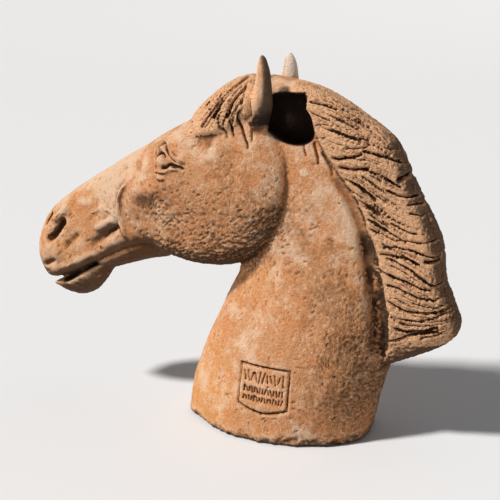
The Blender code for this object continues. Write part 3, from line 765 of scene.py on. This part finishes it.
def finishTree(tree, outNode, geometry, material):
    solid = put(tree, "GeometryNodeRealizeInstances", Geometry=geometry).outputs[0]
    dressed = put(tree, "GeometryNodeSetMaterial", Geometry=solid, Material=material).outputs[0]
    tree.links.new(dressed, outNode.inputs[0])


def math2(tree, operation, first, second=0.0):
    return put(tree, "ShaderNodeMath", {"operation": operation}, i0=first, i1=second).outputs[0]


def vectorMath(tree, operation, first, **second):
    return put(tree, "ShaderNodeVectorMath", {"operation": operation}, i0=first, **second).outputs[0]


def readBack(tree, name):
    # what the mesh's points carry under this name
    found = put(tree, "GeometryNodeInputNamedAttribute", {"data_type": "FLOAT"}, Name=name)
    return found.outputs["Attribute"]


def softRange(tree, value, low, high, least, most):
    # from least at low to most at high, with soft ends
    return put(
        tree, "ShaderNodeMapRange", {"interpolation_type": "SMOOTHSTEP"},
        i0=value, i1=low, i2=high, i3=least, i4=most,
    ).outputs[0]


def noiseAt(tree, place, scale):
    # noise in patches of one size: its value and its colour
    return put(
        tree, "ShaderNodeTexNoise", {"noise_dimensions": "3D"}, Vector=place, Scale=scale, Detail=1.0
    ).outputs


def byChance(tree, limits, seed):
    low, high = limits
    return put(tree, "FunctionNodeRandomValue", {"data_type": "FLOAT"}, i2=low, i3=high, Seed=seed).outputs[1]


def shortLine(tree, length, axis):
    # a straight line of five points with its middle at the origin
    start = put(tree, "ShaderNodeCombineXYZ", **{axis: math2(tree, "MULTIPLY", length, -0.5)}).outputs[0]
    step = put(tree, "ShaderNodeCombineXYZ", **{axis: math2(tree, "MULTIPLY", length, 0.25)}).outputs[0]
    return put(
        tree, "GeometryNodeMeshLine", {"mode": "OFFSET"}, Count=5, Start_Location=start, Offset=step
    ).outputs[0]


def applied(found, tree, values):
    # runs a tree on an object and gives the plain mesh
    modifier = found.modifiers.new(tree.name, "NODES")
    modifier.node_group = tree
    names = {item.name: item.identifier for item in tree.interface.items_tree if item.in_out == "INPUT"}
    for name, value in values.items():
        modifier[names[name]] = value
    return bakedMesh(found)


def laidOnSkinTree(material):
    # drops each point of the lines onto the skin, straight in from its own side
    tree, given, out = newTree("lay lines on the skin", [("Skin", "Object", None)])
    skin = put(tree, "GeometryNodeObjectInfo", {"transform_space": "ORIGINAL"}, Object=given["Skin"])
    place = put(tree, "GeometryNodeInputPosition").outputs[0]
    parts = put(tree, "ShaderNodeSeparateXYZ", i0=place).outputs
    inward = math2(tree, "MULTIPLY", math2(tree, "SIGN", parts[1]), -1.0)
    aim = put(tree, "ShaderNodeCombineXYZ", i0=0.0, i1=inward, i2=0.0).outputs[0]
    hit = put(
        tree, "GeometryNodeRaycast", Target_Geometry=skin.outputs["Geometry"], Source_Position=place,
        Ray_Direction=aim, Ray_Length=1.0,
    ).outputs
    missed = put(tree, "FunctionNodeBooleanMath", {"operation": "NOT"}, i0=hit["Is Hit"]).outputs[0]
    kept = put(tree, "GeometryNodeSetPosition", Geometry=given["Geometry"], Position=hit["Hit Position"])
    clean = put(
        tree, "GeometryNodeDeleteGeometry", {"domain": "POINT"}, Geometry=kept.outputs[0], Selection=missed
    )
    finishTree(tree, out, clean.outputs[0], material)
    return tree


def pressedInTree(material):
    # sinks the skin along lines. Each point of a line has its own share of the depth.
    tree, given, out = newTree(
        "press lines in", [("Lines", "Object", None), ("Width", "Float", 0.001), ("Depth", "Float", 0.001)]
    )
    lines = put(tree, "GeometryNodeObjectInfo", {"transform_space": "ORIGINAL"}, Object=given["Lines"])
    lines = lines.outputs["Geometry"]
    place = put(tree, "GeometryNodeInputPosition").outputs[0]
    gap = put(tree, "GeometryNodeProximity", {"target_element": "EDGES"}, i0=lines).outputs["Distance"]
    nearest = put(
        tree, "GeometryNodeSampleNearest", {"domain": "POINT"}, Geometry=lines, Sample_Position=place
    )
    share = put(
        tree, "GeometryNodeSampleIndex", {"data_type": "FLOAT", "domain": "POINT"}, Geometry=lines,
        Value=readBack(tree, "share"), Index=nearest.outputs[0],
    ).outputs[0]
    away = math2(tree, "DIVIDE", gap, given["Width"])
    fall = softRange(tree, away, 0.0, 1.0, 1.0, 0.0)
    sink = math2(tree, "MULTIPLY", math2(tree, "MULTIPLY", fall, share), given["Depth"])
    normal = put(tree, "GeometryNodeInputNormal").outputs[0]
    push = vectorMath(tree, "SCALE", normal, Scale=math2(tree, "MULTIPLY", sink, -1.0))
    moved = put(tree, "GeometryNodeSetPosition", Geometry=given["Geometry"], Offset=push)
    finishTree(tree, out, moved.outputs[0], material)
    return tree


def toolMarksTree(material):
    # short marks of a rasp, scattered over the skin where it is marked as tooled, turned with the form
    tree, given, out = newTree("scatter tool marks", [
        ("Spacing", "Float", 0.004), ("Length", "Float", 0.008), ("Marks per square metre", "Float", 30000.0),
        ("Stroke lean", "Vector", (0.5, 0.0, -1.0)), ("Seed", "Int", 3),
    ])
    spots = put(
        tree, "GeometryNodeDistributePointsOnFaces", {"distribute_method": "POISSON"}, Mesh=given["Geometry"],
        Distance_Min=given["Spacing"], Density_Max=given["Marks per square metre"],
        Density_Factor=readBack(tree, "tooled"), Seed=given["Seed"],
    ).outputs
    place = put(tree, "GeometryNodeInputPosition").outputs[0]
    swirl = noiseAt(tree, place, tooling["swirlsPerMetre"])["Color"]
    swirl = vectorMath(tree, "SUBTRACT", swirl, i1=(0.5, 0.5, 0.5))
    swirl = vectorMath(tree, "SCALE", swirl, Scale=tooling["swirl"])
    turned = put(
        tree, "FunctionNodeAlignRotationToVector", {"axis": "X", "pivot_axis": "Z"},
        Rotation=spots["Rotation"], Vector=vectorMath(tree, "ADD", given["Stroke lean"], i1=swirl),
    )
    spots = put(
        tree, "GeometryNodeStoreNamedAttribute", {"data_type": "FLOAT", "domain": "POINT"},
        Geometry=spots["Points"], Name="share", Value=byChance(tree, tooling["depths"], tooling["depthSeed"]),
    )
    marks = put(
        tree, "GeometryNodeInstanceOnPoints", Points=spots.outputs[0],
        Instance=shortLine(tree, given["Length"], "X"), Rotation=turned.outputs[0],
        Scale=byChance(tree, tooling["sizes"], given["Seed"]),
    )
    finishTree(tree, out, marks.outputs[0], material)
    return tree


def tabletRowsTree(material):
    # rows of short upright strokes, each leaning and growing by chance, that only stand for writing
    tree, given, out = newTree("rows of strokes", [
        ("Strokes", "Int", 14), ("Pitch", "Float", 0.0035), ("Height", "Float", 0.005), ("Seed", "Int", 1),
        ("Start", "Vector", (0.0, 0.0, 0.0)), ("Lean", "Float", 0.0),
    ])
    row = put(
        tree, "GeometryNodeMeshLine", {"mode": "OFFSET"}, Count=given["Strokes"],
        Offset=put(tree, "ShaderNodeCombineXYZ", i0=given["Pitch"]).outputs[0],
    )
    lean = put(
        tree, "FunctionNodeRandomValue", {"data_type": "FLOAT_VECTOR"}, i0=(0, -tablet["strokeLean"], 0),
        i1=(0, tablet["strokeLean"], 0), Seed=given["Seed"],
    )
    strokes = put(
        tree, "GeometryNodeInstanceOnPoints", Points=row.outputs[0],
        Instance=shortLine(tree, given["Height"], "Z"), Rotation=lean.outputs[0],
        Scale=byChance(tree, tablet["strokeSizes"], given["Seed"]),
    )
    turn = put(tree, "ShaderNodeCombineXYZ", i1=given["Lean"]).outputs[0]
    joined = put(
        tree, "GeometryNodeTransform", Geometry=strokes.outputs[0], Translation=given["Start"], Rotation=turn
    )
    finishTree(tree, out, joined.outputs[0], material)
    return tree


# Surface of the clay
def lineMesh(name, lines):
    # lines of points in the side view, with each point's share of the depth, held out to one side
    bm = bmesh.new()
    shares = []
    for path, side, share in lines:
        last = None
        for (x, z), depthShare in zip(path, share):
            here = bm.verts.new((x * unit, side * 0.3, z * unit))
            shares.append(depthShare)
            if last:
                bm.edges.new((last, here))
            last = here
    mesh = bpy.data.meshes.new(name)
    bm.to_mesh(mesh)
    bm.free()
    setValues(mesh, "share", np.array(shares))
    return mesh


def onSkin(name, mesh, skin, tree):
    # an object of the lines as they lie on the skin
    return addObject(name, applied(addObject(name, mesh), tree, {"Skin": skin}))


def pressIn(skin, lines, tree, width, depth):
    mesh = applied(skin, tree, {"Lines": lines, "Width": width * unit, "Depth": depth * unit})
    bpy.data.objects.remove(lines)
    return addObject("clay", mesh)


def combLines(onMane, onForelock, seed):
    # lines of a comb between the deep cuts: each runs along part of a strand
    chance = np.random.default_rng(seed)
    lines = []
    for guides, count in ((maneGuides, onMane), (forelockGuides, onForelock)):
        for side in (-1, 1):
            for i in range(count):
                place = (i + chance.uniform(0.1, 0.9)) / count
                path = curveThrough(between(guides, place, chance.uniform(-1.2, 1.2, (1, 2))), 7)
                start = chance.uniform(0, 0.45)
                stop = chance.uniform(0.6, 1.0)
                path = path[int(start * len(path)) : int(stop * len(path))]
                if len(path) < 4:
                    continue
                along = np.linspace(0, 1, len(path))
                share = smoothStep(0, 0.3, np.minimum(along, 1 - along)) * chance.uniform(0.4, 1.0)
                lines.append((path, side, share))
    return lines


def tabletOutline():
    # straight top and sides with a shallow arc below
    left, right, top, bottom, sag = (tablet[key] for key in ("left", "right", "top", "bottom", "sag"))
    arc = []
    for t in np.linspace(0, 1, 13):
        arc.append((right + (left - right) * t, bottom - 4 * sag * t * (1 - t)))
    corners = [(left, top), (right, top), *arc, (left, top)]
    path = []
    for (x0, z0), (x1, z1) in zip(corners, corners[1:]):
        steps = max(2, int(math.hypot(x1 - x0, z1 - z0) / 1.5))
        path += [(x0 + (x1 - x0) * t, z0 + (z1 - z0) * t) for t in np.linspace(0, 1, steps, endpoint=False)]
    path.append(corners[-1])
    return [leaning(point) for point in path]


def leaning(point):
    # the tablet was pressed in a little askew
    turn = math.radians(tablet["lean"])
    x, z = point[0] - tablet["pivot"][0], point[1] - tablet["pivot"][1]
    return (
        tablet["pivot"][0] + x * math.cos(turn) - z * math.sin(turn),
        tablet["pivot"][1] + x * math.sin(turn) + z * math.cos(turn),
    )


def stampTablet(skin, laid, pressed, material):
    outline = tabletOutline()
    lines = lineMesh("tablet outline", [(outline, -1, np.ones(len(outline)))])
    lines = onSkin("tablet outline", lines, skin, laid)
    skin = pressIn(skin, lines, pressed, tablet["edgeWidth"], tablet["edgeDepth"])
    rowsTree = tabletRowsTree(material)
    margin = tablet["margin"]
    for top, height, strokes in tablet["rows"]:
        pitch = (tablet["right"] - tablet["left"] - 2 * margin) / (strokes - 1)
        seat = bpy.data.meshes.new("row")
        seat.from_pydata([(0, 0, 0)], [], [])
        start = leaning((tablet["left"] + margin, top))
        row = applied(addObject("row", seat), rowsTree, {
            "Strokes": strokes, "Pitch": pitch * unit, "Height": height * unit, "Seed": int(top),
            "Start": (start[0] * unit, -0.3, start[1] * unit), "Lean": math.radians(-tablet["lean"]),
        })
        setValues(row, "share", np.ones(len(row.vertices)))
        row = onSkin("row", row, skin, laid)
        skin = pressIn(skin, row, pressed, tablet["strokeWidth"], tablet["strokeDepth"])
    return skin


def unevenTree(material):
    # the hand-worked wave of the surface and, where the clay is rough, its crumbling
    tree, given, out = newTree("uneven skin", [
        ("Wave size", "Float", 0.05), ("Wave height", "Float", 0.001),
        ("Lump size", "Float", 0.014), ("Lump height", "Float", 0.0005),
        ("Crumb size", "Float", 0.003), ("Crumb depth", "Float", 0.0006),
    ])
    place = put(tree, "GeometryNodeInputPosition").outputs[0]
    heights = []
    for size, height in (
        ("Wave size", "Wave height"), ("Lump size", "Lump height"), ("Crumb size", "Crumb depth")
    ):
        scale = math2(tree, "DIVIDE", 1.0, given[size])
        centred = math2(tree, "SUBTRACT", noiseAt(tree, place, scale)[0], 0.5)
        heights.append(math2(tree, "MULTIPLY", math2(tree, "MULTIPLY", centred, 2.0), given[height]))
    smooth = math2(tree, "ADD", heights[0], heights[1])
    total = math2(tree, "ADD", smooth, math2(tree, "MULTIPLY", heights[2], readBack(tree, "rough")))
    push = vectorMath(tree, "SCALE", put(tree, "GeometryNodeInputNormal").outputs[0], Scale=total)
    moved = put(tree, "GeometryNodeSetPosition", Geometry=given["Geometry"], Offset=push)
    finishTree(tree, out, moved.outputs[0], material)
    return tree


def spread(points, patches):
    # soft round patches in the side view, the same on both sides: x, z, radius and amount
    x, z = points[:, 0] / unit, points[:, 2] / unit
    found = np.zeros(len(points))
    for atX, atZ, radius, amount in patches:
        found += amount * np.exp(-(((x - atX) ** 2 + (z - atZ) ** 2) / radius**2))
    return np.clip(found, 0, 1)


def markZones(mesh):
    # where the rasp was used and where the clay is rough or crumbled
    points = pointsOf(mesh)
    x, y, z = (points / unit).T
    tooled = np.clip(tooling["everywhere"] + spread(points, patina["tooled"]), 0, 1)
    onEar = (z > 390) & (np.abs(y) > 28) & (x > -38) & (x < 5)
    setValues(mesh, "tooled", tooled * ~onEar)
    rough = 0.5 + spread(points, patina["rough"]) + 1.3 * (1 - smoothStep(0, 14, z))
    setValues(mesh, "rough", np.clip(rough + 0.5 * inHair(points), 0, 2) * np.where(onEar, 0.5, 1))


def inHair(points):
    # 1 on the mane, behind its root, and on the forelock, above its lower edge
    x, z = points[:, 0] / unit, points[:, 2] / unit
    rootX, rootZ = np.array([row[1] for row in maneForm[1:]], float)[::-1].T
    mane = smoothStep(-1, 4, x - np.interp(z, rootZ, rootX)) * (z > rootZ[0])
    lowX, lowZ = np.array([row[1] for row in forelockForm], float)[::-1].T
    forelock = smoothStep(2, 12, z - np.interp(x, lowX, lowZ)) * (x > lowX[0]) * (x < lowX[-1])
    return np.maximum(mane, forelock)


def shaded(mesh):
    # painted shade: 1 on undersides and on the mane's back, which face away from the light; along the foot's
    # edge it is half as strong, darker towards the ground
    points, normals = pointsOf(mesh), normalsOf(mesh)
    x, y, z = (points / unit).T
    strands = inHair(points)
    under = smoothStep(0.0, -0.45, normals[:, 2]) * (1 - 0.7 * strands * (z > 130))
    under = np.maximum(under, 0.5 * smoothStep(9, 3, z)) * (z > 1)
    behind = 0.9 * strands * smoothStep(0.45, 0.85, normals[:, 0])
    return np.maximum(under, behind)


def earBackShade(points):
    # 1 on the half of the near ear that looks back, where near-black shade is painted
    x, y, z = (points / unit).T
    edgeZ, edgeX = np.array(patina["earShade"], float).T
    onEar = (z > edgeZ[0]) & (y < -30) & (x < 12)
    return onEar * smoothStep(-2.5, 1.0, x - np.interp(z, edgeZ, edgeX))


def onFarEar(points):
    # 1 on the upper part of the far ear
    return smoothStep(24, 32, points[:, 1] / unit) * smoothStep(385, 430, points[:, 2] / unit)


def shadeInHollows(points):
    # 1 deep in the hollow behind each ear and between the lips, 0 at their edges: where near-black shade is
    # painted
    x, y, z = (points / unit).T
    y = np.abs(y)
    inside = np.zeros(len(x), bool)
    edge = hollowForm["outline"]
    centreX, centreZ = np.mean(edge, 0)
    widen = hollowForm["paintWiden"]
    farX, farZ = centreX + (x - centreX) / widen, centreZ + (z - centreZ) / widen
    for (x0, z0), (x1, z1) in zip(edge, (*edge[1:], edge[0])):
        if z0 != z1:
            inside ^= ((z0 > farZ) != (z1 > farZ)) & (farX < x0 + (farZ - z0) * (x1 - x0) / (z1 - z0))
    inside = inside * smoothStep(hollowForm["paintFrom"], hollowForm["paintFull"], y)
    slot = curveThrough(mouthSlit, 8)
    gap = np.full(len(x), 1e9)
    near = np.nonzero((x < -240) & (z < 200))[0]
    gap[near] = np.linalg.norm(np.column_stack([x, z])[near, None] - slot[None], axis=2).min(1)
    inMouth = smoothStep(4.5, 2.0, gap) * smoothStep(26, 20, y)
    return np.maximum(inside * (y > hollowForm["paintLeast"]), inMouth)


def cutFlat(mesh):
    # the underside, level at the ground
    bm = bmesh.new()
    bm.from_mesh(mesh)
    geometry = bm.verts[:] + bm.edges[:] + bm.faces[:]
    cut = bmesh.ops.bisect_plane(
        bm, geom=geometry, dist=1e-6, plane_co=(0, 0, 0), plane_no=(0, 0, 1), clear_inner=True
    )
    rim = [item for item in cut["geom_cut"] if isinstance(item, bmesh.types.BMEdge)]
    bmesh.ops.contextual_create(bm, geom=rim)
    bmesh.ops.triangulate(bm, faces=bm.faces)
    bm.to_mesh(mesh)
    bm.free()
    mesh.update()
    return mesh


def thinned(mesh, triangles):
    # the mesh with about this many triangles left
    found = addObject("clay", mesh)
    count = sum(len(face.vertices) - 2 for face in mesh.polygons)
    decimate = found.modifiers.new("thin out", "DECIMATE")
    decimate.ratio = min(1.0, triangles / count)
    return bakedMesh(found)


def measureRelief(mesh):
    # how far each point lies below the form around it, in units of a deep groove: above 0 in
    # grooves, below 0 on ridges
    points, normals = pointsOf(mesh), normalsOf(mesh)
    ends = np.empty(len(mesh.edges) * 2, np.int32)
    mesh.edges.foreach_get("vertices", ends)
    ends = ends.reshape(-1, 2)
    count = np.bincount(ends.ravel(), minlength=len(points))[:, None]
    for name, rounds, deep in (("hollow", 14, 1.2), ("pit", 3, 0.35)):
        smooth = points.copy()
        for _ in range(rounds):
            total = np.zeros_like(smooth)
            for axis in range(3):
                total[:, axis] += np.bincount(ends[:, 0], smooth[ends[:, 1], axis], len(points))
                total[:, axis] += np.bincount(ends[:, 1], smooth[ends[:, 0], axis], len(points))
            smooth = 0.3 * smooth + 0.7 * total / np.maximum(count, 1)
        depth = np.einsum("ij,ij->i", smooth - points, normals) / unit
        setValues(mesh, name, np.clip(depth / deep, -1, 1))


# Terracotta
def hexColour(code):
    # an sRGB hex value as linear red, green and blue
    parts = [int(code[i : i + 2], 16) / 255 for i in (0, 2, 4)]
    return (*[c / 12.92 if c <= 0.04045 else ((c + 0.055) / 1.055) ** 2.4 for c in parts], 1.0)


def terracotta():
    # unglazed terracotta: fired clay with sand in it, pressed in a mould and worked with a rasp.
    # It is matt and orange buff, with a pale film of lime on what stands proud, dirt in patches, painted
    # shade in the hollows and under things and painted highlights on ridges and hair.
    found = bpy.data.materials.new("unglazedTerracotta")
    found.use_nodes = True
    tree = found.node_tree
    shader = tree.nodes["Principled BSDF"]
    where = put(tree, "ShaderNodeTexCoord").outputs["Object"]
    reading = {}
    for name in ("hollow", "pit", "bloom", "grime", "ochre", "hair", "carved", "rough", "shade", "pocketShade"):
        reading[name] = put(tree, "ShaderNodeAttribute", {"attribute_name": name}).outputs["Fac"]

    def noise(size, detail=2.0, roughness=0.55):
        # size is the width of the largest patch in mm
        return put(
            tree, "ShaderNodeTexNoise", Vector=where, Scale=1000 / size, Detail=detail, Roughness=roughness
        ).outputs[0]

    def cells(size):
        # grains this many mm apart, each with its distance and its own colour
        return put(tree, "ShaderNodeTexVoronoi", {"feature": "F1"}, Vector=where, Scale=1000 / size).outputs

    def channel(colour, place):
        return put(tree, "ShaderNodeSeparateColor", Color=colour).outputs[place]

    def ramp(value, low, high, least=0.0, most=1.0):
        return softRange(tree, value, low, high, least, most)

    def blend(amount, under, over):
        # lays a colour of the finish over what is there
        return put(
            tree, "ShaderNodeMix", {"data_type": "RGBA"}, i0=amount, i6=under, i7=hexColour(clayFinish[over])
        ).outputs[2]

    def times(first, second):
        return math2(tree, "MULTIPLY", first, second)

    def plus(first, second):
        return math2(tree, "ADD", first, second)

    clouds = noise(46, 3.0)                            # uneven firing, in patches of a few cm
    mottle = noise(9, 3.0)
    sand = cells(clayFinish["sandGrain"])
    grainTone = channel(sand["Color"], 0)
    fine = noise(1.6, 2.0)                             # grit of 0.5 to 1.6 mm

    body = blend(ramp(clouds, 0.35, 0.65), hexColour(clayFinish["body"]), "bodyWarm")
    body = blend(times(reading["ochre"], 0.8), body, "ochre")
    body = blend(ramp(mottle, 0.45, 0.7, 0.0, 0.3), body, "bodyDeep")
    body = blend(ramp(grainTone, 0.72, 0.95, 0.0, 0.3), body, "paleGrain")
    body = blend(ramp(grainTone, 0.18, 0.02, 0.0, 0.3), body, "darkGrain")

    # lime: where it is marked, broken up by noise, thicker on ridges and thin in pits
    limeNoise = plus(times(noise(21, 4.0, 0.6), 0.75), times(fine, 0.25))
    limeBias = plus(times(reading["bloom"], 0.42), times(reading["hollow"], -0.22))
    lime = ramp(plus(limeNoise, limeBias), 0.52, 0.86)
    body = blend(times(lime, 0.6), body, "lime")
    body = blend(ramp(reading["bloom"], 1.0, 2.4, 0.0, 0.85), body, "speck")

    # painted light: between its cuts the hair is painted paler than the skin, for the light that falls on it
    body = blend(times(reading["hair"], 0.95), body, "strand")

    # dirt where it is marked and a little in the hollows; then painted shade, near black, in grooves and
    # pits, stronger where carved
    dirtNoise = plus(times(noise(23, 3.0, 0.6), 0.6), times(mottle, 0.4))
    dirtBias = plus(times(reading["grime"], 0.36), times(reading["hollow"], 0.2))
    dirt = ramp(plus(dirtNoise, dirtBias), 0.5, 0.92)
    body = blend(times(dirt, ramp(reading["hair"], 0.0, 1.0, 0.75, 0.3)), body, "dirt")
    broadCut = times(ramp(reading["hollow"], 0.25, 1.0), ramp(reading["carved"], 0.0, 1.0, 0.2, 0.8))
    fineCut = times(ramp(reading["pit"], 0.2, 0.85), ramp(reading["carved"], 0.0, 1.0, 0.15, 0.5))
    body = blend(ramp(plus(broadCut, fineCut), 0.0, 1.0, 0.0, 0.88), body, "groove")
    # painted highlight: ridges lighter, most in the hair
    onRidge = times(ramp(reading["pit"], -0.1, -0.7), ramp(reading["hair"], 0.0, 1.0, 0.15, 0.45))
    body = blend(onRidge, body, "ridgeHighlight")

    # specks of white lime, 1 to 2 mm across
    specks = cells(clayFinish["speckPitch"])
    inSpeck = ramp(specks["Distance"], 0.13, 0.08)
    chosen = ramp(channel(specks["Color"], 1), 0.80, 0.84)
    body = blend(times(inSpeck, times(chosen, 0.8)), body, "speck")
    # painted shade on undersides and the mane's back, and darker along the foot's edge
    body = blend(times(reading["shade"], 0.9), body, "shade")
    # painted shade, near black, in the hollows behind the ears, between the lips and on the near ear's back
    # half
    body = blend(times(reading["pocketShade"], 0.98), body, "pocketShade")
    tree.links.new(body, shader.inputs["Base Color"])

    shader.inputs["Metallic"].default_value = 0.0
    shader.inputs["IOR"].default_value = 1.5
    shader.inputs["Specular IOR Level"].default_value = clayFinish["specular"]
    dull = ramp(dirt, 0.0, 1.0, clayFinish["roughLow"], clayFinish["roughHigh"])
    tree.links.new(dull, shader.inputs["Roughness"])

    # relief too fine for the mesh: sand, and pores left where grains fell out
    pores = ramp(sand["Distance"], 0.1, 0.5)
    scratches = []
    for lean, stretch, amount in (("scratchLean", 1.5, 0.6), ("strandLean", 5.0, 1.6)):
        along = put(
            tree, "ShaderNodeMapping", {"vector_type": "TEXTURE"}, Vector=where, Scale=(1.0, 1.0, stretch),
            Rotation=(0.0, math.radians(clayFinish[lean]), 0.0),
        ).outputs[0]
        lines = put(
            tree, "ShaderNodeTexNoise", Vector=along, Scale=1000 / clayFinish["scratchPitch"], Detail=2.0,
            Roughness=0.5,
        ).outputs[0]
        scratches.append(times(lines, amount))
    scratches = put(tree, "ShaderNodeMix", i0=reading["hair"], i2=scratches[0], i3=scratches[1]).outputs[0]
    grit = plus(times(fine, 0.6), plus(times(noise(3.4, 3.0), 0.8), times(pores, 0.25)))
    rough = ramp(reading["rough"], 0.3, 1.7)
    dents = times(ramp(cells(clayFinish["pitGrain"])["Distance"], 0.1, 0.55), times(rough, 0.8))
    grit = plus(dents, times(plus(grit, scratches), ramp(rough, 0.0, 1.0, 0.7, 1.8)))
    bump = put(
        tree, "ShaderNodeBump", Strength=clayFinish["bumpStrength"], Distance=clayFinish["bumpHeight"] * unit,
        Height=grit,
    )
    tree.links.new(bump.outputs[0], shader.inputs["Normal"])
    return found


# The bust
def makeBust(material):
    mesh = refined(pressedTogether(), fineSpots)
    print(f"forms pressed together: {len(mesh.vertices)} points")
    clay = takenUp(mesh)
    for given in faceStrokes["broad"]:
        stroke(clay, *given)
    mesh = laidDown(clay)
    clay = takenUp(mesh)
    for given in faceStrokes["fine"]:
        stroke(clay, *given)
    carveHair(clay)
    for x, z, reach, depth in chips["near"]:
        for side in (-1, 1):
            at = x + (chips["farSetBack"] if side > 0 else 0)
            path = ((at - reach, z), (at + reach, z + 1))
            stroke(clay, path, reach, -depth, ends=0, inner=20, sides=(side,))
    mesh = laidDown(clay)
    print("face and hair carved")

    laid, pressed = laidOnSkinTree(material), pressedInTree(material)
    markZones(mesh)
    skin = addObject("clay", mesh)
    for i, (onMane, onForelock, width, depth) in enumerate(hair["combs"]):
        lines = lineMesh("comb lines", combLines(onMane, onForelock, hair["seed"] + 1 + i))
        skin = pressIn(skin, onSkin("comb lines", lines, skin, laid), pressed, width, depth)
    skin = stampTablet(skin, laid, pressed, material)
    marks = applied(addObject("marks", skin.data.copy()), toolMarksTree(material), {
        "Spacing": tooling["spacing"] * unit, "Length": tooling["length"] * unit,
        "Marks per square metre": tooling["perSquareMetre"], "Stroke lean": tooling["lean"],
        "Seed": tooling["seed"],
    })
    print(f"tool marks: {len(marks.edges) // 4}")
    skin = pressIn(skin, addObject("marks", marks), pressed, tooling["width"], tooling["depth"])
    mesh = applied(skin, unevenTree(material), {name: value * unit for name, value in uneven.items()})
    mesh = thinned(cutFlat(mesh), clayFinish["triangles"])
    print(f"skin thinned to {len(mesh.polygons)} triangles")

    measureRelief(mesh)
    points = pointsOf(mesh)
    inStrands = inHair(points)
    farBloom = patina["farBloomAmount"] * onFarEar(points) * spread(points, patina["farBloom"])
    for name, values in (
        ("grime", spread(points, patina["grime"])),
        ("ochre", spread(points, patina["ochre"])),
        ("bloom", spread(points, patina["bloom"]) + farBloom),
        ("hair", inStrands),
        ("carved", np.maximum(patina["hairCarved"] * inStrands, spread(points, patina["carved"]))),
        ("pocketShade", np.maximum(shadeInHollows(points), patina["earShadeAmount"] * earBackShade(points))),
        ("shade", shaded(mesh)),
    ):
        setValues(mesh, name, values)
    for name in ("tooled", "share"):
        if name in mesh.attributes:
            mesh.attributes.remove(mesh.attributes[name])
    mesh.materials.clear()
    mesh.materials.append(material)
    mesh.shade_smooth()
    mesh.set_sharp_from_angle(angle=math.radians(clayFinish["sharpAngle"]))
    mesh.name = "terracottaBust"
    return addObject("terracottaBust", mesh)


bust = makeBust(terracotta())
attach(bust, "root")
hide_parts("horse_head")


# Floor, light and camera
studio = {
    "flatRadius": 6.0, "bendRadius": 16.0, "rimRadius": 45.0, "rise": 8.0, "floorTurns": 96,
    "floorDrop": 0.0003, "floorColour": "ECEDEF", "floorRoughness": 0.9,
    "keyStrength": 3.4, "keySoftness": 7.0, "keyTurn": -140.0, "keyRise": 49.0, "keyColour": "FFFCF8",
    "fillStrength": 0.25, "fillSoftness": 60.0, "fillTurn": 60.0, "fillRise": 60.0, "fillColour": "FFFFFF",
    "skyColour": "F7F8FA", "skyStrength": 0.12,
}
# The camera's turn and tilt in degrees, its place in metres, its focal length and frame in the photo's pixels
view = {
    "side": 20.0, "down": 14.3, "distance": 1.1, "middle": -0.045, "height": 0.499, "focal": 904.0,
    "frame": 500.0, "sensor": 36.0,
}


def matt(name, code):
    found = bpy.data.materials.new(name)
    found.use_nodes = True
    shader = found.node_tree.nodes["Principled BSDF"]
    shader.inputs["Base Color"].default_value = hexColour(code)
    shader.inputs["Roughness"].default_value = studio["floorRoughness"]
    return found


def makeFloor():
    # a round pale floor that far out rises gently all round, so that it fills the picture
    flat, far, rim, turns = (studio[key] for key in ("flatRadius", "bendRadius", "rimRadius", "floorTurns"))
    slope, bend = math.tan(math.radians(studio["rise"])), far - flat
    profile = [(flat * t, 0.0) for t in (0.25, 0.5, 0.75, 1.0)]
    for t in np.linspace(0, 1, 13)[1:]:
        profile.append((flat + bend * t, slope * bend * t * t / 2))
    profile.append((rim, profile[-1][1] + slope * (rim - far)))
    bm = bmesh.new()
    rings = []
    for radius, height in profile:
        ring = []
        for i in range(turns):
            a = 2 * math.pi * i / turns
            ring.append(bm.verts.new((radius * math.cos(a), radius * math.sin(a), height)))
        rings.append(ring)
    bm.faces.new(rings[0])
    for low, high in zip(rings, rings[1:]):
        for i in range(turns):
            j = (i + 1) % turns
            bm.faces.new((low[i], high[i], high[j], low[j]))
    mesh = bpy.data.meshes.new("floor")
    bm.to_mesh(mesh)
    bm.free()
    mesh.materials.append(matt("paleFloorPaint", studio["floorColour"]))
    mesh.shade_smooth()
    floor = addObject("floor", mesh)
    floor.location.z = -studio["floorDrop"]            # so that it and the underside don't flicker


def makeLight(name):
    # a large soft lamp far off, so that it falls evenly on the floor
    lamp = bpy.data.lights.new(name, "SUN")
    lamp.energy = studio[name + "Strength"]
    lamp.angle = math.radians(studio[name + "Softness"])
    lamp.color = hexColour(studio[name + "Colour"])[:3]
    turn, rise = math.radians(studio[name + "Turn"]), math.radians(studio[name + "Rise"])
    way = Vector((math.cos(turn) * math.cos(rise), math.sin(turn) * math.cos(rise), math.sin(rise)))
    found = addObject(name, lamp)
    found.location = way * 2
    found.rotation_euler = way.to_track_quat("Z", "Y").to_euler()


def makeStudio():
    makeFloor()
    makeLight("key")
    makeLight("fill")
    world = bpy.data.worlds.new("studio")
    world.use_nodes = True
    world.node_tree.nodes["Background"].inputs["Color"].default_value = hexColour(studio["skyColour"])
    world.node_tree.nodes["Background"].inputs["Strength"].default_value = studio["skyStrength"]
    bpy.context.scene.world = world
    bpy.context.scene.view_settings.view_transform = "Standard"


def makeCamera():
    side, down = math.radians(view["side"]), math.radians(view["down"])
    lens = bpy.data.cameras.new("camera")
    lens.sensor_width = view["sensor"]
    lens.lens = view["sensor"] * view["focal"] / view["frame"]
    camera = addObject("camera", lens)
    camera.location = (
        view["middle"] + view["distance"] * math.sin(side), -view["distance"] * math.cos(side), view["height"]
    )
    camera.rotation_euler = (math.pi / 2 - down, 0, side)
    bpy.context.scene.camera = camera


makeStudio()
makeCamera()
print("studio set")
